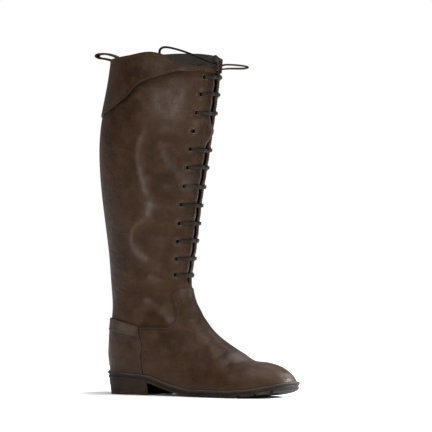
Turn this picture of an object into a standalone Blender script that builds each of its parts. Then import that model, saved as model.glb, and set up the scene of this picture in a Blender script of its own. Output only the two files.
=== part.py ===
"""Laced riding boot for the right foot, standing on its sole.

The boot is drawn in last coordinates: x runs from the heel to the toe, y to the inner side,
z up from the floor. Sizes and tables are in millimetres, and MM turns them into metres.
The empty that carries every piece puts the origin under the middle of the heel.
"""
import math

import bmesh
import bpy
import numpy as np
from mathutils import Matrix, Vector

MM = 0.001

# Driving sizes of the sole
LENGTH = 276.0
HEEL_CENTRE = 36.0
HEEL_LENGTH = 75.0
BALL = 196.0
TOE_POWER = 2.2
HEEL_POWER = 2.2
TOE_SWING = 5.0
SWING_START = 130.0
OUTSOLE = 5.4
WELT = 3.6
OVERHANG = 4.0
WELT_DEPTH = 9.0
INSOLE = 6.0
GAP = 0.3

# Driving sizes of the leather
WALL = 2.0
OVERLAY = 1.2
OVERLAY_GAP = 0.4
STAY_HALF_WIDTH = 6.0
TONGUE = 1.6

# Lace and eyelets
EYELET_BORE = 1.9
EYELET_BARREL = 2.6
EYELET_FLANGE = 4.0
EYELET_RISE = 0.8
HOLE_RADIUS = 2.95
LACE_WIDTH = 4.2
LACE_THICKNESS = 1.2
CORD_RADIUS = 1.3

# Half-widths of the sole to the outer and to the inner side
OUTLINE_COLUMNS = ("station", "outer", "inner")
OUTLINE = (
    (36.0, 33.0, 33.0),
    (80.0, 33.5, 32.0),
    (118.0, 35.5, 30.5),
    (155.0, 42.0, 38.5),
    (196.0, 49.0, 47.0),
)

# Height of the tread over the floor: heel seat, arch, flat ball, toe spring
TREAD_COLUMNS = ("station", "height")
TREAD = (
    (0.0, 21.0),
    (40.0, 18.6),
    (75.0, 15.8),
    (97.0, 9.4),
    (115.0, 4.9),
    (135.0, 1.1),
    (150.0, 0.0),
    (205.0, 0.0),
    (228.0, 1.6),
    (250.0, 5.2),
    (276.0, 12.0),
)

# Sections of the foot, from the toe back: each runs from the ridge down to the sole's edge
FOOT_COLUMNS = ("ridge_x", "ridge_z", "edge_x", "swell", "widest", "crown")
FOOT = (
    (271.0, 20.6, 226.0, 0.0, 1.65, 2.2),
    (267.0, 27.0, 221.0, 0.0, 1.56, 2.2),
    (259.5, 33.0, 214.0, 0.3, 1.36, 2.2),
    (251.5, 37.4, 206.0, 0.6, 1.16, 2.2),
    (241.5, 40.8, 198.0, 1.0, 1.00, 2.2),
    (228.0, 43.2, 189.0, 1.2, 0.90, 2.2),
    (211.0, 44.6, 177.0, 1.5, 0.85, 2.2),
    (193.0, 55.0, 161.0, 1.5, 0.80, 2.2),
    (175.0, 65.8, 143.0, 1.5, 0.74, 2.15),
    (158.0, 77.6, 124.0, 1.5, 0.68, 2.1),
    (143.5, 92.0, 103.0, 1.5, 0.62, 2.05),
    (132.3, 107.5, 80.0, 2.5, 0.57, 2.0),
    (124.8, 120.5, 57.0, 4.0, 0.55, 1.95),
    (121.0, 131.5, 38.0, 5.5, 0.54, 1.9),
    (119.5, 140.5, 22.0, 8.4, 0.53, 1.88),
    (119.2, 147.0, 12.0, 14.3, 0.52, 1.86),
    (119.5, 152.5, 6.2, 23.2, 0.52, 1.84),
)

# Sections of heel, ankle and shaft: each runs from the laced front to the back seam
SHAFT_COLUMNS = ("front_x", "front_z", "back_x", "back_z", "half_width", "widest", "prow", "back")
SHAFT = (
    (120.2, 157.5, 4.0, 30.2, 35.5, 0.52, 1.82, 2.2),
    (121.4, 164.0, 1.4, 43.0, 36.0, 0.52, 1.80, 2.2),
    (123.0, 171.5, 2.0, 60.0, 36.8, 0.52, 1.75, 2.2),
    (125.1, 181.0, 3.7, 80.0, 37.5, 0.52, 1.72, 2.2),
    (127.3, 192.0, 6.0, 104.0, 38.7, 0.52, 1.70, 2.1),
    (129.5, 207.0, 4.5, 135.0, 41.0, 0.52, 1.68, 2.05),
    (131.8, 225.0, 2.0, 172.0, 45.0, 0.53, 1.66, 2.0),
    (135.0, 248.0, -3.0, 216.0, 49.5, 0.54, 1.65, 2.0),
    (140.4, 277.0, -8.5, 263.0, 54.0, 0.55, 1.65, 2.0),
    (147.0, 312.0, -11.0, 312.0, 57.0, 0.55, 1.65, 2.0),
    (154.3, 352.0, -7.0, 352.0, 57.5, 0.55, 1.65, 2.0),
    (160.6, 392.0, 2.5, 392.0, 57.0, 0.55, 1.65, 2.0),
    (164.0, 420.0, 7.5, 420.0, 56.0, 0.55, 1.65, 2.0),
    (166.5, 450.0, 11.0, 450.0, 55.0, 0.55, 1.65, 2.0),
)

# Rows of the section tables where the form changes and where leather pieces start and stop
TOE_ROWS = 7
HEEL_ROW = 13
THROAT_ROW = 14
FIRST_CLOSED_ROW = len(FOOT)
ANKLE_ROW = 19
CALF_ROW = 26
COLLAR_BASE_ROW = 27
COUNTER_ROWS = (11, 21)
STAY_BASE_ROW = 21

# Half the throat's opening along the row of eyelets
SLIT_COLUMNS = ("height", "half_gap")
SLIT = (
    (140.5, 0.0),
    (144.0, 2.2),
    (148.0, 3.2),
    (170.0, 3.8),
    (330.0, 4.6),
    (440.0, 5.2),
)

# Collar and lower edge of the cuff, by the share of the way from the front to the back seam
COLLAR_COLUMNS = ("share", "outer", "inner")
COLLAR = (
    (0.00, 416.5, 424.0),
    (0.13, 417.5, 428.0),
    (0.24, 419.5, 432.0),
    (0.31, 425.0, 434.5),
    (0.37, 433.0, 436.0),
    (0.45, 435.8, 437.5),
    (0.60, 431.8, 438.5),
    (0.85, 428.3, 434.0),
    (1.00, 428.0, 428.0),
)
CUFF_COLUMNS = ("share", "height")
CUFF = (
    (0.00, 408.5),
    (0.12, 410.8),
    (0.24, 411.5),
    (0.33, 407.5),
    (0.40, 403.0),
    (0.49, 395.5),
    (0.56, 380.3),
    (0.64, 369.2),
    (0.73, 360.5),
    (1.00, 352.0),
)

# Seams seen from the side, as x and z of the points that each curve goes through
VAMP_SEAM = (
    (66.5, 87.0), (96.0, 87.0), (108.5, 87.6), (115.5, 93.0), (116.6, 101.0),
    (113.0, 112.0), (108.2, 123.0), (108.4, 130.0), (113.0, 134.0), (121.0, 137.0),
)
COUNTER_FRONT = ((69.0, 25.0), (67.4, 38.0), (67.8, 52.0), (70.4, 63.0), (67.6, 73.0), (64.6, 88.0))
STRAP_TOP = ((-12.0, 99.0), (18.0, 97.0), (36.0, 94.2), (64.6, 87.6))
STRAP_BOTTOM = ((-12.0, 83.0), (18.0, 81.0), (36.0, 78.6), (67.6, 73.0))
SEAM_GAP = 0.6
EDGE_LIFT = 1.2

# Eyelets, from the top pair down, and how far each lies from the front along the leather
EYELET_COLUMNS = ("height", "from_front")
EYELETS = (
    (404.0, 19.5),
    (382.0, 21.3),
    (359.0, 24.0),
    (335.5, 25.0),
    (313.0, 25.0),
    (289.5, 25.0),
    (266.0, 25.5),
    (242.5, 26.0),
    (219.0, 26.5),
    (196.0, 27.0),
    (174.0, 26.5),
    (153.5, 25.0),
)
SKIPPED_BAR = 3

# The bow at the top of the throat: each loop leaves and meets the knot along two directions
KNOT_CENTRE = (168.4, -8.0, 417.0)
KNOT_SIZE = (8.8, 8.8, 7.6)
KNOT_CLEARANCES = (0.3, 2.5)
LACE_LOOPS = {
    "lace_loop_rear": {
        "leaves": (-0.62, 0.25, 0.74),
        "points": (
            (160.3, -6.5, 421.8), (152.0, -12.0, 425.5), (140.0, -21.5, 432.0), (124.0, -31.0, 438.5),
            (110.0, -38.0, 442.0), (103.5, -41.0, 440.0), (102.0, -41.5, 434.0), (106.0, -40.0, 426.0),
            (115.0, -36.5, 420.0), (128.0, -31.0, 417.0), (141.0, -25.0, 417.5), (152.0, -19.0, 420.4),
            (160.0, -14.5, 421.0),
        ),
        "meets": (-0.55, -0.80, 0.25),
    },
    "lace_loop_side": {
        "leaves": (0.86, 0.45, 0.22),
        "points": (
            (175.5, -1.5, 419.4), (181.0, 5.5, 419.4), (187.0, 14.5, 418.8), (191.5, 21.5, 417.8),
            (192.8, 24.6, 416.6), (189.5, 21.5, 415.2), (183.5, 13.0, 414.8), (177.5, 3.5, 414.6),
        ),
        "meets": (0.82, 0.30, -0.49),
    },
    "lace_loop_top": {
        "leaves": (-0.10, -0.55, 0.83),
        "points": (
            (165.6, -12.6, 424.0), (164.6, -11.4, 427.4), (165.0, -8.0, 430.6), (167.0, -5.0, 428.4),
            (168.6, -4.2, 424.6),
        ),
        "meets": (0.35, 0.50, 0.79),
    },
}

# How finely the pieces are faceted: the leather's columns lie closer at the throat and round the heel
LEATHER_SHARES = np.array((0.0, 0.035, 0.08, 0.135, 0.22, 0.33, 0.46, 0.59, 0.71, 0.82, 0.905, 0.965, 1.0))
FINE = 1201
EYELET_SIDES = 7
ARC_STEPS = 7
LOFT_STATIONS = (50.0, 63.0, 75.0, 86.0, 97.0, 106.0, 115.0, 125.0, 135.0, 150.0, 167.0, 182.0)

# Colours are linear, as the surfaces look in soft light
FINISHES = {
    "brown_leather": ((0.052, 0.030, 0.019), 0.48, 0.0),
    "dark_leather": ((0.036, 0.020, 0.012), 0.50, 0.0),
    "strap_leather": ((0.064, 0.046, 0.036), 0.50, 0.0),
    "lace_leather": ((0.030, 0.021, 0.016), 0.60, 0.0),
    "sole_rubber": ((0.042, 0.032, 0.026), 0.62, 0.0),
    "welt_leather": ((0.060, 0.044, 0.034), 0.58, 0.0),
    "insole_leather": ((0.110, 0.080, 0.055), 0.70, 0.0),
    "antique_brass": ((0.055, 0.040, 0.028), 0.42, 0.9),
}


def column(table, names, name):
    """One named column of a table."""
    return np.array([row[names.index(name)] for row in table], float)


def smooth(x, stations, values):
    """Cubic through a table that never swings past its values, level beyond its ends."""
    step = np.diff(stations)
    slope = np.diff(values) / step
    before, after = slope[:-1], slope[1:]
    same = before * after > 0
    total = np.where(same, before + after, 1.0)
    tangent = np.concatenate([slope[:1], np.where(same, 2 * before * after / total, 0.0), slope[-1:]])
    x = np.clip(x, stations[0], stations[-1])
    i = np.clip(np.searchsorted(stations, x) - 1, 0, len(step) - 1)
    a = (x - stations[i]) / step[i]
    level = values[i] * (1 + 2 * a) * (1 - a) ** 2 + values[i + 1] * a * a * (3 - 2 * a)
    return level + step[i] * (tangent[i] * a * (1 - a) ** 2 - tangent[i + 1] * a * a * (1 - a))


def table_value(table, names, x, name):
    """Value of one column where the first column reaches x."""
    return smooth(x, column(table, names, names[0]), column(table, names, name))


def superellipse(a, power):
    """Half-width of a rounded end, 1 where a is 0 and 0 where a is 1."""
    return (1 - np.clip(a, 0, 1) ** power) ** (1 / power)


def centre_line(x):
    """The sole's middle swings to the inner side towards the toe."""
    a = np.clip((np.asarray(x, float) - SWING_START) / (LENGTH - SWING_START), 0, 1)
    return TOE_SWING * a * a * (3 - 2 * a)


def tread_z(x):
    return table_value(TREAD, TREAD_COLUMNS, np.asarray(x, float), "height")


def feather_z(x):
    """Lower edge of the upper, just over the welt."""
    return tread_z(x) + OUTSOLE + WELT + 2 * GAP


def half_width(x, side, inset):
    """Half-width of the sole's outline at x, drawn in by inset."""
    x = np.asarray(x, float)
    width = table_value(OUTLINE, OUTLINE_COLUMNS, x, "outer" if side < 0 else "inner") - inset
    heel = superellipse((HEEL_CENTRE - x) / (HEEL_CENTRE - inset), HEEL_POWER)
    toe = superellipse((x - BALL) / (LENGTH - BALL - inset), TOE_POWER)
    return width * heel * toe


def foot_half_section(row, side, share, follow):
    """Points of a foot section from its ridge to the sole's edge, which those of the toe follow."""
    x = row["ridge_x"] + (row["edge_x"] - row["ridge_x"]) * share
    ridge_edge, end_edge = feather_z(row["ridge_x"]), feather_z(row["edge_x"])
    base = feather_z(x) if follow else ridge_edge + (end_edge - ridge_edge) * share
    z = base + (row["ridge_z"] - ridge_edge) * (1 - share)
    edge = half_width(row["edge_x"], side, OVERHANG)
    full = edge + row["swell"]
    if row["widest"] >= 1:
        at_edge = superellipse(1 - 1 / row["widest"], row["crown"])
        y = full / at_edge * superellipse(1 - share / row["widest"], row["crown"]) - row["swell"] * share ** 2
    else:
        front = superellipse(1 - share / row["widest"], row["crown"])
        drop = 1 - (edge / full) ** HEEL_POWER
        behind = np.clip((share - row["widest"]) / (1 - row["widest"]), 0, 1)
        rear = superellipse(drop ** (1 / HEEL_POWER) * behind, HEEL_POWER)
        y = full * np.where(share < row["widest"], front, rear)
    return np.stack([x, side * y + centre_line(x), z], 1)


def shaft_half_section(row, side, share):
    """Points of a closed section from the laced front to the back seam."""
    x = row["front_x"] + (row["back_x"] - row["front_x"]) * share
    z = row["front_z"] + (row["back_z"] - row["front_z"]) * share
    front = superellipse(1 - share / row["widest"], row["prow"])
    rear = superellipse((share - row["widest"]) / (1 - row["widest"]), row["back"])
    y = side * row["half_width"] * np.where(share < row["widest"], front, rear)
    return np.stack([x, y, z], 1)


def half_section(index, side):
    """Close points of a half section, and the length along it up to each."""
    share = (1 - np.cos(np.linspace(0, np.pi, 4 * FINE))) / 2
    if index < FIRST_CLOSED_ROW:
        row = dict(zip(FOOT_COLUMNS, FOOT[index]))
        points = foot_half_section(row, side, share, index < TOE_ROWS)
    else:
        row = dict(zip(SHAFT_COLUMNS, SHAFT[index - FIRST_CLOSED_ROW]))
        points = shaft_half_section(row, side, share)
    steps = np.linalg.norm(np.diff(points, axis=0), axis=1)
    return points, np.concatenate([[0.0], np.cumsum(steps)])


def even_section(index, side):
    """A half section evenly spaced along itself, but closer in front where it wraps round the heel."""
    points, arc = half_section(index, side)
    share = np.linspace(0, 1, FINE)
    if HEEL_ROW < index < CALF_ROW:
        fade = min(1.0, (CALF_ROW - index) / (CALF_ROW - ANKLE_ROW))
        wrap = (1 - half_section(HEEL_ROW, side)[1][-1] / arc[-1]) * fade
        share = share * (1 - wrap) + wrap * share ** 4
    return np.stack([np.interp(share * arc[-1], arc, points[:, k]) for k in range(3)], 1)


def spline_bends(knots):
    """Matrix that gives a natural cubic spline's second derivatives from its points."""
    count = len(knots)
    h = np.diff(knots)
    left = np.eye(count)
    right = np.zeros((count, count))
    for i in range(1, count - 1):
        left[i, i - 1:i + 2] = h[i - 1], 2 * (h[i - 1] + h[i]), h[i]
        right[i, i - 1:i + 2] = 6 / h[i - 1], -6 / h[i - 1] - 6 / h[i], 6 / h[i]
    return np.linalg.solve(left, right)


ROWS = len(FOOT) + len(SHAFT)
SECTIONS = {side: np.stack([even_section(i, side) for i in range(ROWS)]) for side in (-1, 1)}
STEPS = [np.linalg.norm(np.diff(SECTIONS[side], axis=0), axis=2).mean(1) for side in (-1, 1)]
KNOTS = np.concatenate([[0.0], np.cumsum(np.mean(STEPS, axis=0))])
BENDS = {side: np.einsum("ij,jkl->ikl", spline_bends(KNOTS), SECTIONS[side]) for side in (-1, 1)}


def skin(t, v):
    """Outer face of the upper: t runs up the boot, v from -1 on the outer side over the front to 1."""
    t, v = np.broadcast_arrays(np.asarray(t, float), np.asarray(v, float))
    points = np.empty(t.shape + (3,))
    for side, chosen in ((-1, v < 0), (1, v >= 0)):
        along = np.abs(v[chosen]) * (FINE - 1)
        j = np.clip(along.astype(int), 0, FINE - 2)
        part = (along - j)[:, None]
        i = np.clip(np.searchsorted(KNOTS, t[chosen]) - 1, 0, ROWS - 2)
        h = (KNOTS[i + 1] - KNOTS[i])[:, None]
        b = (t[chosen] - KNOTS[i])[:, None] / h
        a = 1 - b

        def pick(rows, k):
            return rows[k, j] * (1 - part) + rows[k, j + 1] * part

        line = a * pick(SECTIONS[side], i) + b * pick(SECTIONS[side], i + 1)
        curve = (a ** 3 - a) * pick(BENDS[side], i) + (b ** 3 - b) * pick(BENDS[side], i + 1)
        points[chosen] = line + curve * h * h / 6
    return points


def skin_normal(t, v):
    """Outward direction of the upper's outer face."""
    t, v = np.broadcast_arrays(np.asarray(t, float), np.asarray(v, float))
    across = skin(t, np.clip(v + 0.004, -1, 1)) - skin(t, np.clip(v - 0.004, -1, 1))
    up = skin(np.clip(t + 0.4, 0, KNOTS[-1]), v) - skin(np.clip(t - 0.4, 0, KNOTS[-1]), v)
    normal = np.cross(across, up)
    normal[(np.abs(v) == 1) & (t >= KNOTS[FIRST_CLOSED_ROW]), 1] = 0.0
    return normal / np.linalg.norm(normal, axis=-1, keepdims=True)


def offset_skin(t, v, distance):
    return skin(t, v) + skin_normal(t, v) * np.asarray(distance, float)[..., None]


def height_to_t(z, v):
    """The t at which the upper reaches height z on the line v, above the throat."""
    low = np.full(np.shape(z), KNOTS[THROAT_ROW])
    high = np.full(np.shape(z), KNOTS[-1])
    for _ in range(40):
        middle = (low + high) / 2
        below = skin(middle, v)[..., 2] < z
        low = np.where(below, middle, low)
        high = np.where(below, high, middle)
    return low


def share_at(t, side, distance, start=0.0):
    """The v that lies a distance along the row t from the front, or from the back where start is 1."""
    v = np.linspace(start, 0.5, 200)
    points = skin(np.full(len(v), float(t)), side * v)
    arc = np.concatenate([[0.0], np.cumsum(np.linalg.norm(np.diff(points, axis=0), axis=1))])
    return side * np.interp(distance, arc, v)


def collar_t(v):
    """Top edge of the upper on the line v."""
    outer = table_value(COLLAR, COLLAR_COLUMNS, np.abs(v), "outer")
    inner = table_value(COLLAR, COLLAR_COLUMNS, np.abs(v), "inner")
    return height_to_t(np.where(np.asarray(v) < 0, outer, inner), v)


def curve_through(points, steps=5):
    """Smooth open curve through hand-placed points, with steps to each stretch."""
    points = np.array(points, float)
    ends = np.concatenate([[2 * points[0] - points[1]], points, [2 * points[-1] - points[-2]]])
    curve = []
    for p0, p1, p2, p3 in zip(ends[:-3], ends[1:-2], ends[2:-1], ends[3:]):
        for a in np.arange(steps) / steps:
            bend = (2 * p0 - 5 * p1 + 4 * p2 - p3) * a * a + (3 * p1 - p0 - 3 * p2 + p3) * a ** 3
            curve.append((2 * p1 + (p2 - p0) * a + bend) / 2)
    curve.append(points[-1])
    return np.array(curve)


def clear_scene():
    for obj in list(bpy.data.objects):
        bpy.data.objects.remove(obj, do_unlink=True)


def new_collection(name):
    collection = bpy.data.collections.new(name)
    bpy.context.scene.collection.children.link(collection)
    return collection


def finish_material(name):
    colour, roughness, metallic = FINISHES[name]
    material = bpy.data.materials.get(name) or bpy.data.materials.new(name)
    material.use_nodes = True
    shader = material.node_tree.nodes["Principled BSDF"]
    shader.inputs["Base Color"].default_value = (*colour, 1.0)
    shader.inputs["Roughness"].default_value = roughness
    shader.inputs["Metallic"].default_value = metallic
    return material


clear_scene()
PARTS = new_collection("laced_boot")
CUTTERS = new_collection("cutters")
ROOT = bpy.data.objects.new("boot_frame", None)
ROOT.location = (-HEEL_CENTRE * MM, 0.0, 0.0)
PARTS.objects.link(ROOT)


def add_part(name, mesh, finish):
    obj = bpy.data.objects.new(name, mesh)
    PARTS.objects.link(obj)
    obj.parent = ROOT
    mesh.materials.append(finish_material(finish))
    mesh.shade_smooth()
    mesh.set_sharp_from_angle(angle=math.radians(35))
    return obj


def add_cutter(name, mesh):
    obj = bpy.data.objects.new(name, mesh)
    CUTTERS.objects.link(obj)
    obj.parent = ROOT
    obj.hide_render = True
    obj.display_type = "WIRE"
    return obj


def cut(obj, cutter, operation, solver="EXACT"):
    boolean = obj.modifiers.new(cutter.name, "BOOLEAN")
    boolean.operation = operation
    boolean.solver = solver
    boolean.object = cutter


def thicken(obj, thickness, outward):
    solidify = obj.modifiers.new("leather", "SOLIDIFY")
    solidify.thickness = thickness * MM
    solidify.offset = 1.0 if outward else -1.0
    solidify.use_even_offset = not outward


def grid_mesh(name, points, ring=False, capped=False, open_column=None):
    """Quads between the rows of a grid of points, split alike on both sides, with meeting points merged."""
    rows, columns = points.shape[:2]
    shape = bmesh.new()
    verts = [[shape.verts.new(Vector(p) * MM) for p in row] for row in points]
    for i in range(rows - 1):
        for j in range(columns if ring else columns - 1):
            if j != open_column:
                k = (j + 1) % columns
                corners = [verts[i][j], verts[i][k], verts[i + 1][k], verts[i + 1][j]]
                shape.faces.new(corners if 2 * j >= columns - 1 else corners[1:] + corners[:1])
    if capped:
        shape.faces.new(verts[0][::-1])
        shape.faces.new(verts[-1])
    bmesh.ops.remove_doubles(shape, verts=shape.verts, dist=0.00001)
    if ring:
        bmesh.ops.recalc_face_normals(shape, faces=shape.faces)
    mesh = bpy.data.meshes.new(name)
    shape.to_mesh(mesh)
    shape.free()
    return mesh


def sole_stations(inset):
    """Stations from heel to toe, close together around both ends."""
    angles = np.linspace(0, np.pi / 2, ARC_STEPS + 1)
    heel = HEEL_CENTRE - (HEEL_CENTRE - inset) * np.cos(angles)
    toe = BALL + (LENGTH - BALL - inset) * np.sin(angles)
    return np.concatenate([heel, LOFT_STATIONS, toe])


def sole_edge(inset, side):
    """Plan of one edge of the sole, drawn in by inset."""
    x = sole_stations(inset)
    return x, side * half_width(x, side, inset) + centre_line(x)


def sole_section_line(inset, side, height):
    """One lengthwise line of a sole layer, at a height over the tread."""
    x, y = sole_edge(inset, side)
    return np.stack([x, y, tread_z(x) + height], 1)


def sole_layer(name, profile):
    """Solid with the sole's outline, from the inset and height of its side's points, bottom first."""
    lines = [sole_section_line(inset, -1, height) for inset, height in profile]
    lines += [sole_section_line(inset, 1, height) for inset, height in reversed(profile)]
    return grid_mesh(name, np.stack(lines, 1), ring=True)


def lug_cutters():
    """Grooves around the forefoot's edge that part the lugs."""
    pitch, width, depth, reach = 21.5, 3.6, 2.3, 24.0
    shape = bmesh.new()
    for side in (-1, 1):
        x = np.linspace(148.0, LENGTH - 0.5, 600)
        y = side * half_width(x, side, 0.0) + centre_line(x)
        arc = np.concatenate([[0.0], np.cumsum(np.hypot(np.diff(x), np.diff(y)))])
        for at in np.arange(pitch / 2, arc[-1] - pitch / 3, pitch):
            px, py = np.interp(at, arc, x), np.interp(at, arc, y)
            ahead, behind = np.interp(at + 1, arc, x), np.interp(at - 1, arc, x)
            turn = math.atan2(np.interp(at + 1, arc, y) - np.interp(at - 1, arc, y), ahead - behind)
            place = Matrix.Translation(Vector((px, py, tread_z(px) + depth / 2 - 3.0)) * MM)
            size = Matrix.Diagonal(Vector((width, reach, depth + 6.0, 1000.0)) * MM)
            bmesh.ops.create_cube(shape, size=1.0, matrix=place @ Matrix.Rotation(turn, 4, "Z") @ size)
    mesh = bpy.data.meshes.new("lug_grooves")
    shape.to_mesh(mesh)
    shape.free()
    return add_cutter("lug_grooves", mesh)


def build_outsole():
    profile = ((2.4, 0.0), (1.0, 1.5), (1.0, 3.4), (1.7, 3.6), (1.7, OUTSOLE))
    outsole = add_part("outsole", sole_layer("outsole", profile), "sole_rubber")
    cut(outsole, lug_cutters(), "DIFFERENCE")


def build_welt():
    base = OUTSOLE + GAP
    profile = ((0.8, 0.0), (0.0, 1.0), (0.0, 2.4), (0.9, WELT), (WELT_DEPTH, WELT - 1.3), (WELT_DEPTH, 0.0))
    lines = []
    for inset, height in profile:
        outer = sole_section_line(inset, -1, base + height)
        inner = sole_section_line(inset, 1, base + height)
        lines.append(np.concatenate([outer, inner[-2:0:-1]]))
    loop = np.stack(lines, 1)
    add_part("welt", grid_mesh("welt", np.concatenate([loop, loop[:1]]), ring=True), "welt_leather")


def build_insole():
    """Insole board with the filler under it, inside the welt."""
    base = OUTSOLE + GAP
    inset = WELT_DEPTH + GAP
    add_part("insole", sole_layer("insole", ((inset, base), (inset, base + INSOLE))), "insole_leather")


def build_heel():
    top_inset, foot_inset, worn_length, worn_rise = 1.9, 4.6, 12.0, 2.0
    last = int(np.argmin(np.abs(sole_stations(0.0) - HEEL_LENGTH))) + 1
    lines = []
    for side, top in ((-1, False), (-1, True), (1, True), (1, False)):
        x, y = sole_edge(top_inset if top else foot_inset, side)
        worn = worn_rise * np.clip((worn_length - x) / worn_length, 0, 1) ** 2
        z = tread_z(x) - GAP if top else worn
        lines.append(np.stack([x, y, z], 1)[:last])
    sections = np.stack(lines, 1)
    mesh = grid_mesh("heel", sections, ring=True)
    shape = bmesh.new()
    shape.from_mesh(mesh)
    bmesh.ops.holes_fill(shape, edges=[e for e in shape.edges if e.is_boundary], sides=0)
    bmesh.ops.recalc_face_normals(shape, faces=shape.faces)
    shape.to_mesh(mesh)
    shape.free()
    add_part("heel", mesh, "sole_rubber")


def slit_shares(rows, side):
    """Where the throat's edge lies on each row, as a share of the way to the back."""
    gaps = table_value(SLIT, SLIT_COLUMNS, skin(rows, 0.0)[:, 2], "half_gap")
    shares = [abs(share_at(t, side, gap)) for t, gap in zip(rows, gaps)]
    return np.where(rows > KNOTS[THROAT_ROW], shares, 0.0)


def leather_columns(rows, side, share):
    """v of each column on each row, from the throat's edge to the back."""
    slit = slit_shares(rows, side)[:, None]
    return side * (slit + (1 - slit) * share)


def upper_rows():
    """Rows of the upper under the collar, with one more between the wide ones of the shaft."""
    rows = list(KNOTS[:COLLAR_BASE_ROW + 1])
    rows += [(a + b) / 2 for a, b in zip(rows[24:], rows[25:])]
    return np.array(sorted(rows))


def build_upper():
    rows = upper_rows()
    rise = np.array([0.33, 0.67, 1.0])[:, None]
    halves = []
    for side in (-1, 1):
        v = leather_columns(rows, side, LEATHER_SHARES)
        t = np.broadcast_to(rows[:, None], v.shape)
        top_t = t[-1] + (collar_t(v[-1]) - t[-1]) * rise
        t = np.concatenate([t, top_t])
        v = np.concatenate([v, np.broadcast_to(v[-1], top_t.shape)])
        halves.append(skin(t, v)[:, ::side])
    mesh = grid_mesh("upper", np.concatenate(halves, 1), open_column=len(LEATHER_SHARES) - 1)
    upper = add_part("upper", mesh, "brown_leather")
    thicken(upper, WALL, outward=False)
    return upper


def side_prism(name, outline):
    """Cutter with an outline seen from the side, running through the whole boot."""
    reach = 90.0
    ends = [[(x, y, z) for x, z in outline] for y in (-reach, reach)]
    return add_cutter(name, grid_mesh(name, np.array(ends), ring=True, capped=True))


def overlay(name, rows, share, outline, gap, thickness, finish):
    """Leather laid on some of the upper's rows and columns, trimmed to an outline seen from the side."""
    halves = []
    for side in (-1, 1):
        v = np.where(share > 0, leather_columns(rows, side, share), 0.0)
        t = np.broadcast_to(rows[:, None], v.shape)
        halves.append(skin(t, v)[:, ::side])
    open_column = None if share[0] == 0 else len(share) - 1
    piece = add_part(name, grid_mesh(name, np.concatenate(halves, 1), open_column=open_column), finish)
    lift = piece.modifiers.new("gap", "DISPLACE")
    lift.strength = gap * MM
    lift.mid_level = 0.0
    thicken(piece, thickness, outward=True)
    cut(piece, side_prism(name + "_outline", outline), "INTERSECT", solver="MANIFOLD")


def lower_edge(x_from, x_to):
    """Line just over the sole, from one station to another."""
    x = np.linspace(x_from, x_to, 16)
    return np.stack([x, feather_z(x) + EDGE_LIFT], 1)


def build_vamp():
    rows = np.array(KNOTS[:THROAT_ROW + 3])
    rear = curve_through(COUNTER_FRONT) + (SEAM_GAP, 0.0)
    rear = rear[(rear[:, 1] > 34.0) & (rear[:, 1] < 86.0)]
    seam = curve_through(VAMP_SEAM)
    beyond = np.array([(300.0, 137.0), (300.0, 22.0)])
    outline = np.concatenate([rear, seam, beyond, lower_edge(290.0, 69.5)])
    overlay("vamp", rows, LEATHER_SHARES, outline, OVERLAY_GAP, OVERLAY, "brown_leather")


def build_counter():
    share = LEATHER_SHARES[LEATHER_SHARES > 0.4]
    rows = np.array(KNOTS[COUNTER_ROWS[0]:COUNTER_ROWS[1] + 1])
    front = curve_through(COUNTER_FRONT)
    top = curve_through(STRAP_BOTTOM) - (0.0, SEAM_GAP)
    edge = front[(front[:, 1] > 33.0) & (front[:, 1] < 72.0)]
    outline = np.concatenate([edge, top[::-1], lower_edge(-12.0, 68.0)])
    overlay("counter", rows, share, outline, 2 * OVERLAY_GAP, OVERLAY, "brown_leather")
    strap = np.concatenate([curve_through(STRAP_TOP), curve_through(STRAP_BOTTOM)[::-1]])
    overlay("counter_strap", rows, share, strap, 2 * OVERLAY_GAP, OVERLAY + 0.3, "strap_leather")


def build_cuff():
    base = KNOTS[COLLAR_BASE_ROW:COLLAR_BASE_ROW + 1]
    rise = np.array([0.0, 0.33, 0.67, 1.0])[:, None]
    halves = []
    for side in (-1, 1):
        v = leather_columns(base, side, LEATHER_SHARES)[0]
        low = height_to_t(table_value(CUFF, CUFF_COLUMNS, np.abs(v), "height"), v)
        t = low + (collar_t(v) - GAP - low) * rise
        v = np.broadcast_to(v, t.shape)
        halves.append(offset_skin(t, v, np.full(t.shape, OVERLAY_GAP))[:, ::side])
    mesh = grid_mesh("cuff", np.concatenate(halves, 1), open_column=len(LEATHER_SHARES) - 1)
    thicken(add_part("cuff", mesh, "dark_leather"), OVERLAY, outward=True)


def build_back_stay():
    """Narrow strip down the back seam, over the cuff at its top."""
    cuff_foot = height_to_t(np.array(CUFF[-1][1]), 1.0)
    over_cuff = OVERLAY_GAP + OVERLAY + GAP
    top = float(collar_t(np.array(1.0))) - GAP
    below = [t for t in upper_rows() if KNOTS[STAY_BASE_ROW] <= t < cuff_foot - 15.0]
    above = [cuff_foot + (top - cuff_foot) * rise for rise in (0.33, 0.67, 1.0)]
    rows = np.array([*below, cuff_foot - 12.0, cuff_foot - 4.0, *above])
    lift = np.interp(rows, [cuff_foot - 12.0, cuff_foot - 4.0], [OVERLAY_GAP, over_cuff])
    halves = []
    for side in (-1, 1):
        v = np.array([share_at(t, side, STAY_HALF_WIDTH * np.array([1.0, 0.5, 0.0]), 1.0) for t in rows])
        t = np.broadcast_to(rows[:, None], v.shape)
        halves.append(offset_skin(t, v, np.broadcast_to(lift[:, None], v.shape)))
    points = np.concatenate([halves[1], halves[0][:, ::-1]], 1)
    stay = add_part("back_stay", grid_mesh("back_stay", points), "dark_leather")
    thicken(stay, 1.0, outward=True)


def strip_mesh(name, centres, across, normals, width, thickness):
    """Flat strip along centres, with its width and thickness."""
    half_across = np.asarray(across) * width / 2
    half_up = np.asarray(normals) * thickness / 2
    corners = [centres - half_across - half_up, centres + half_across - half_up,
               centres + half_across + half_up, centres - half_across + half_up]
    return grid_mesh(name, np.stack(corners, 1), ring=True, capped=True)


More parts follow.
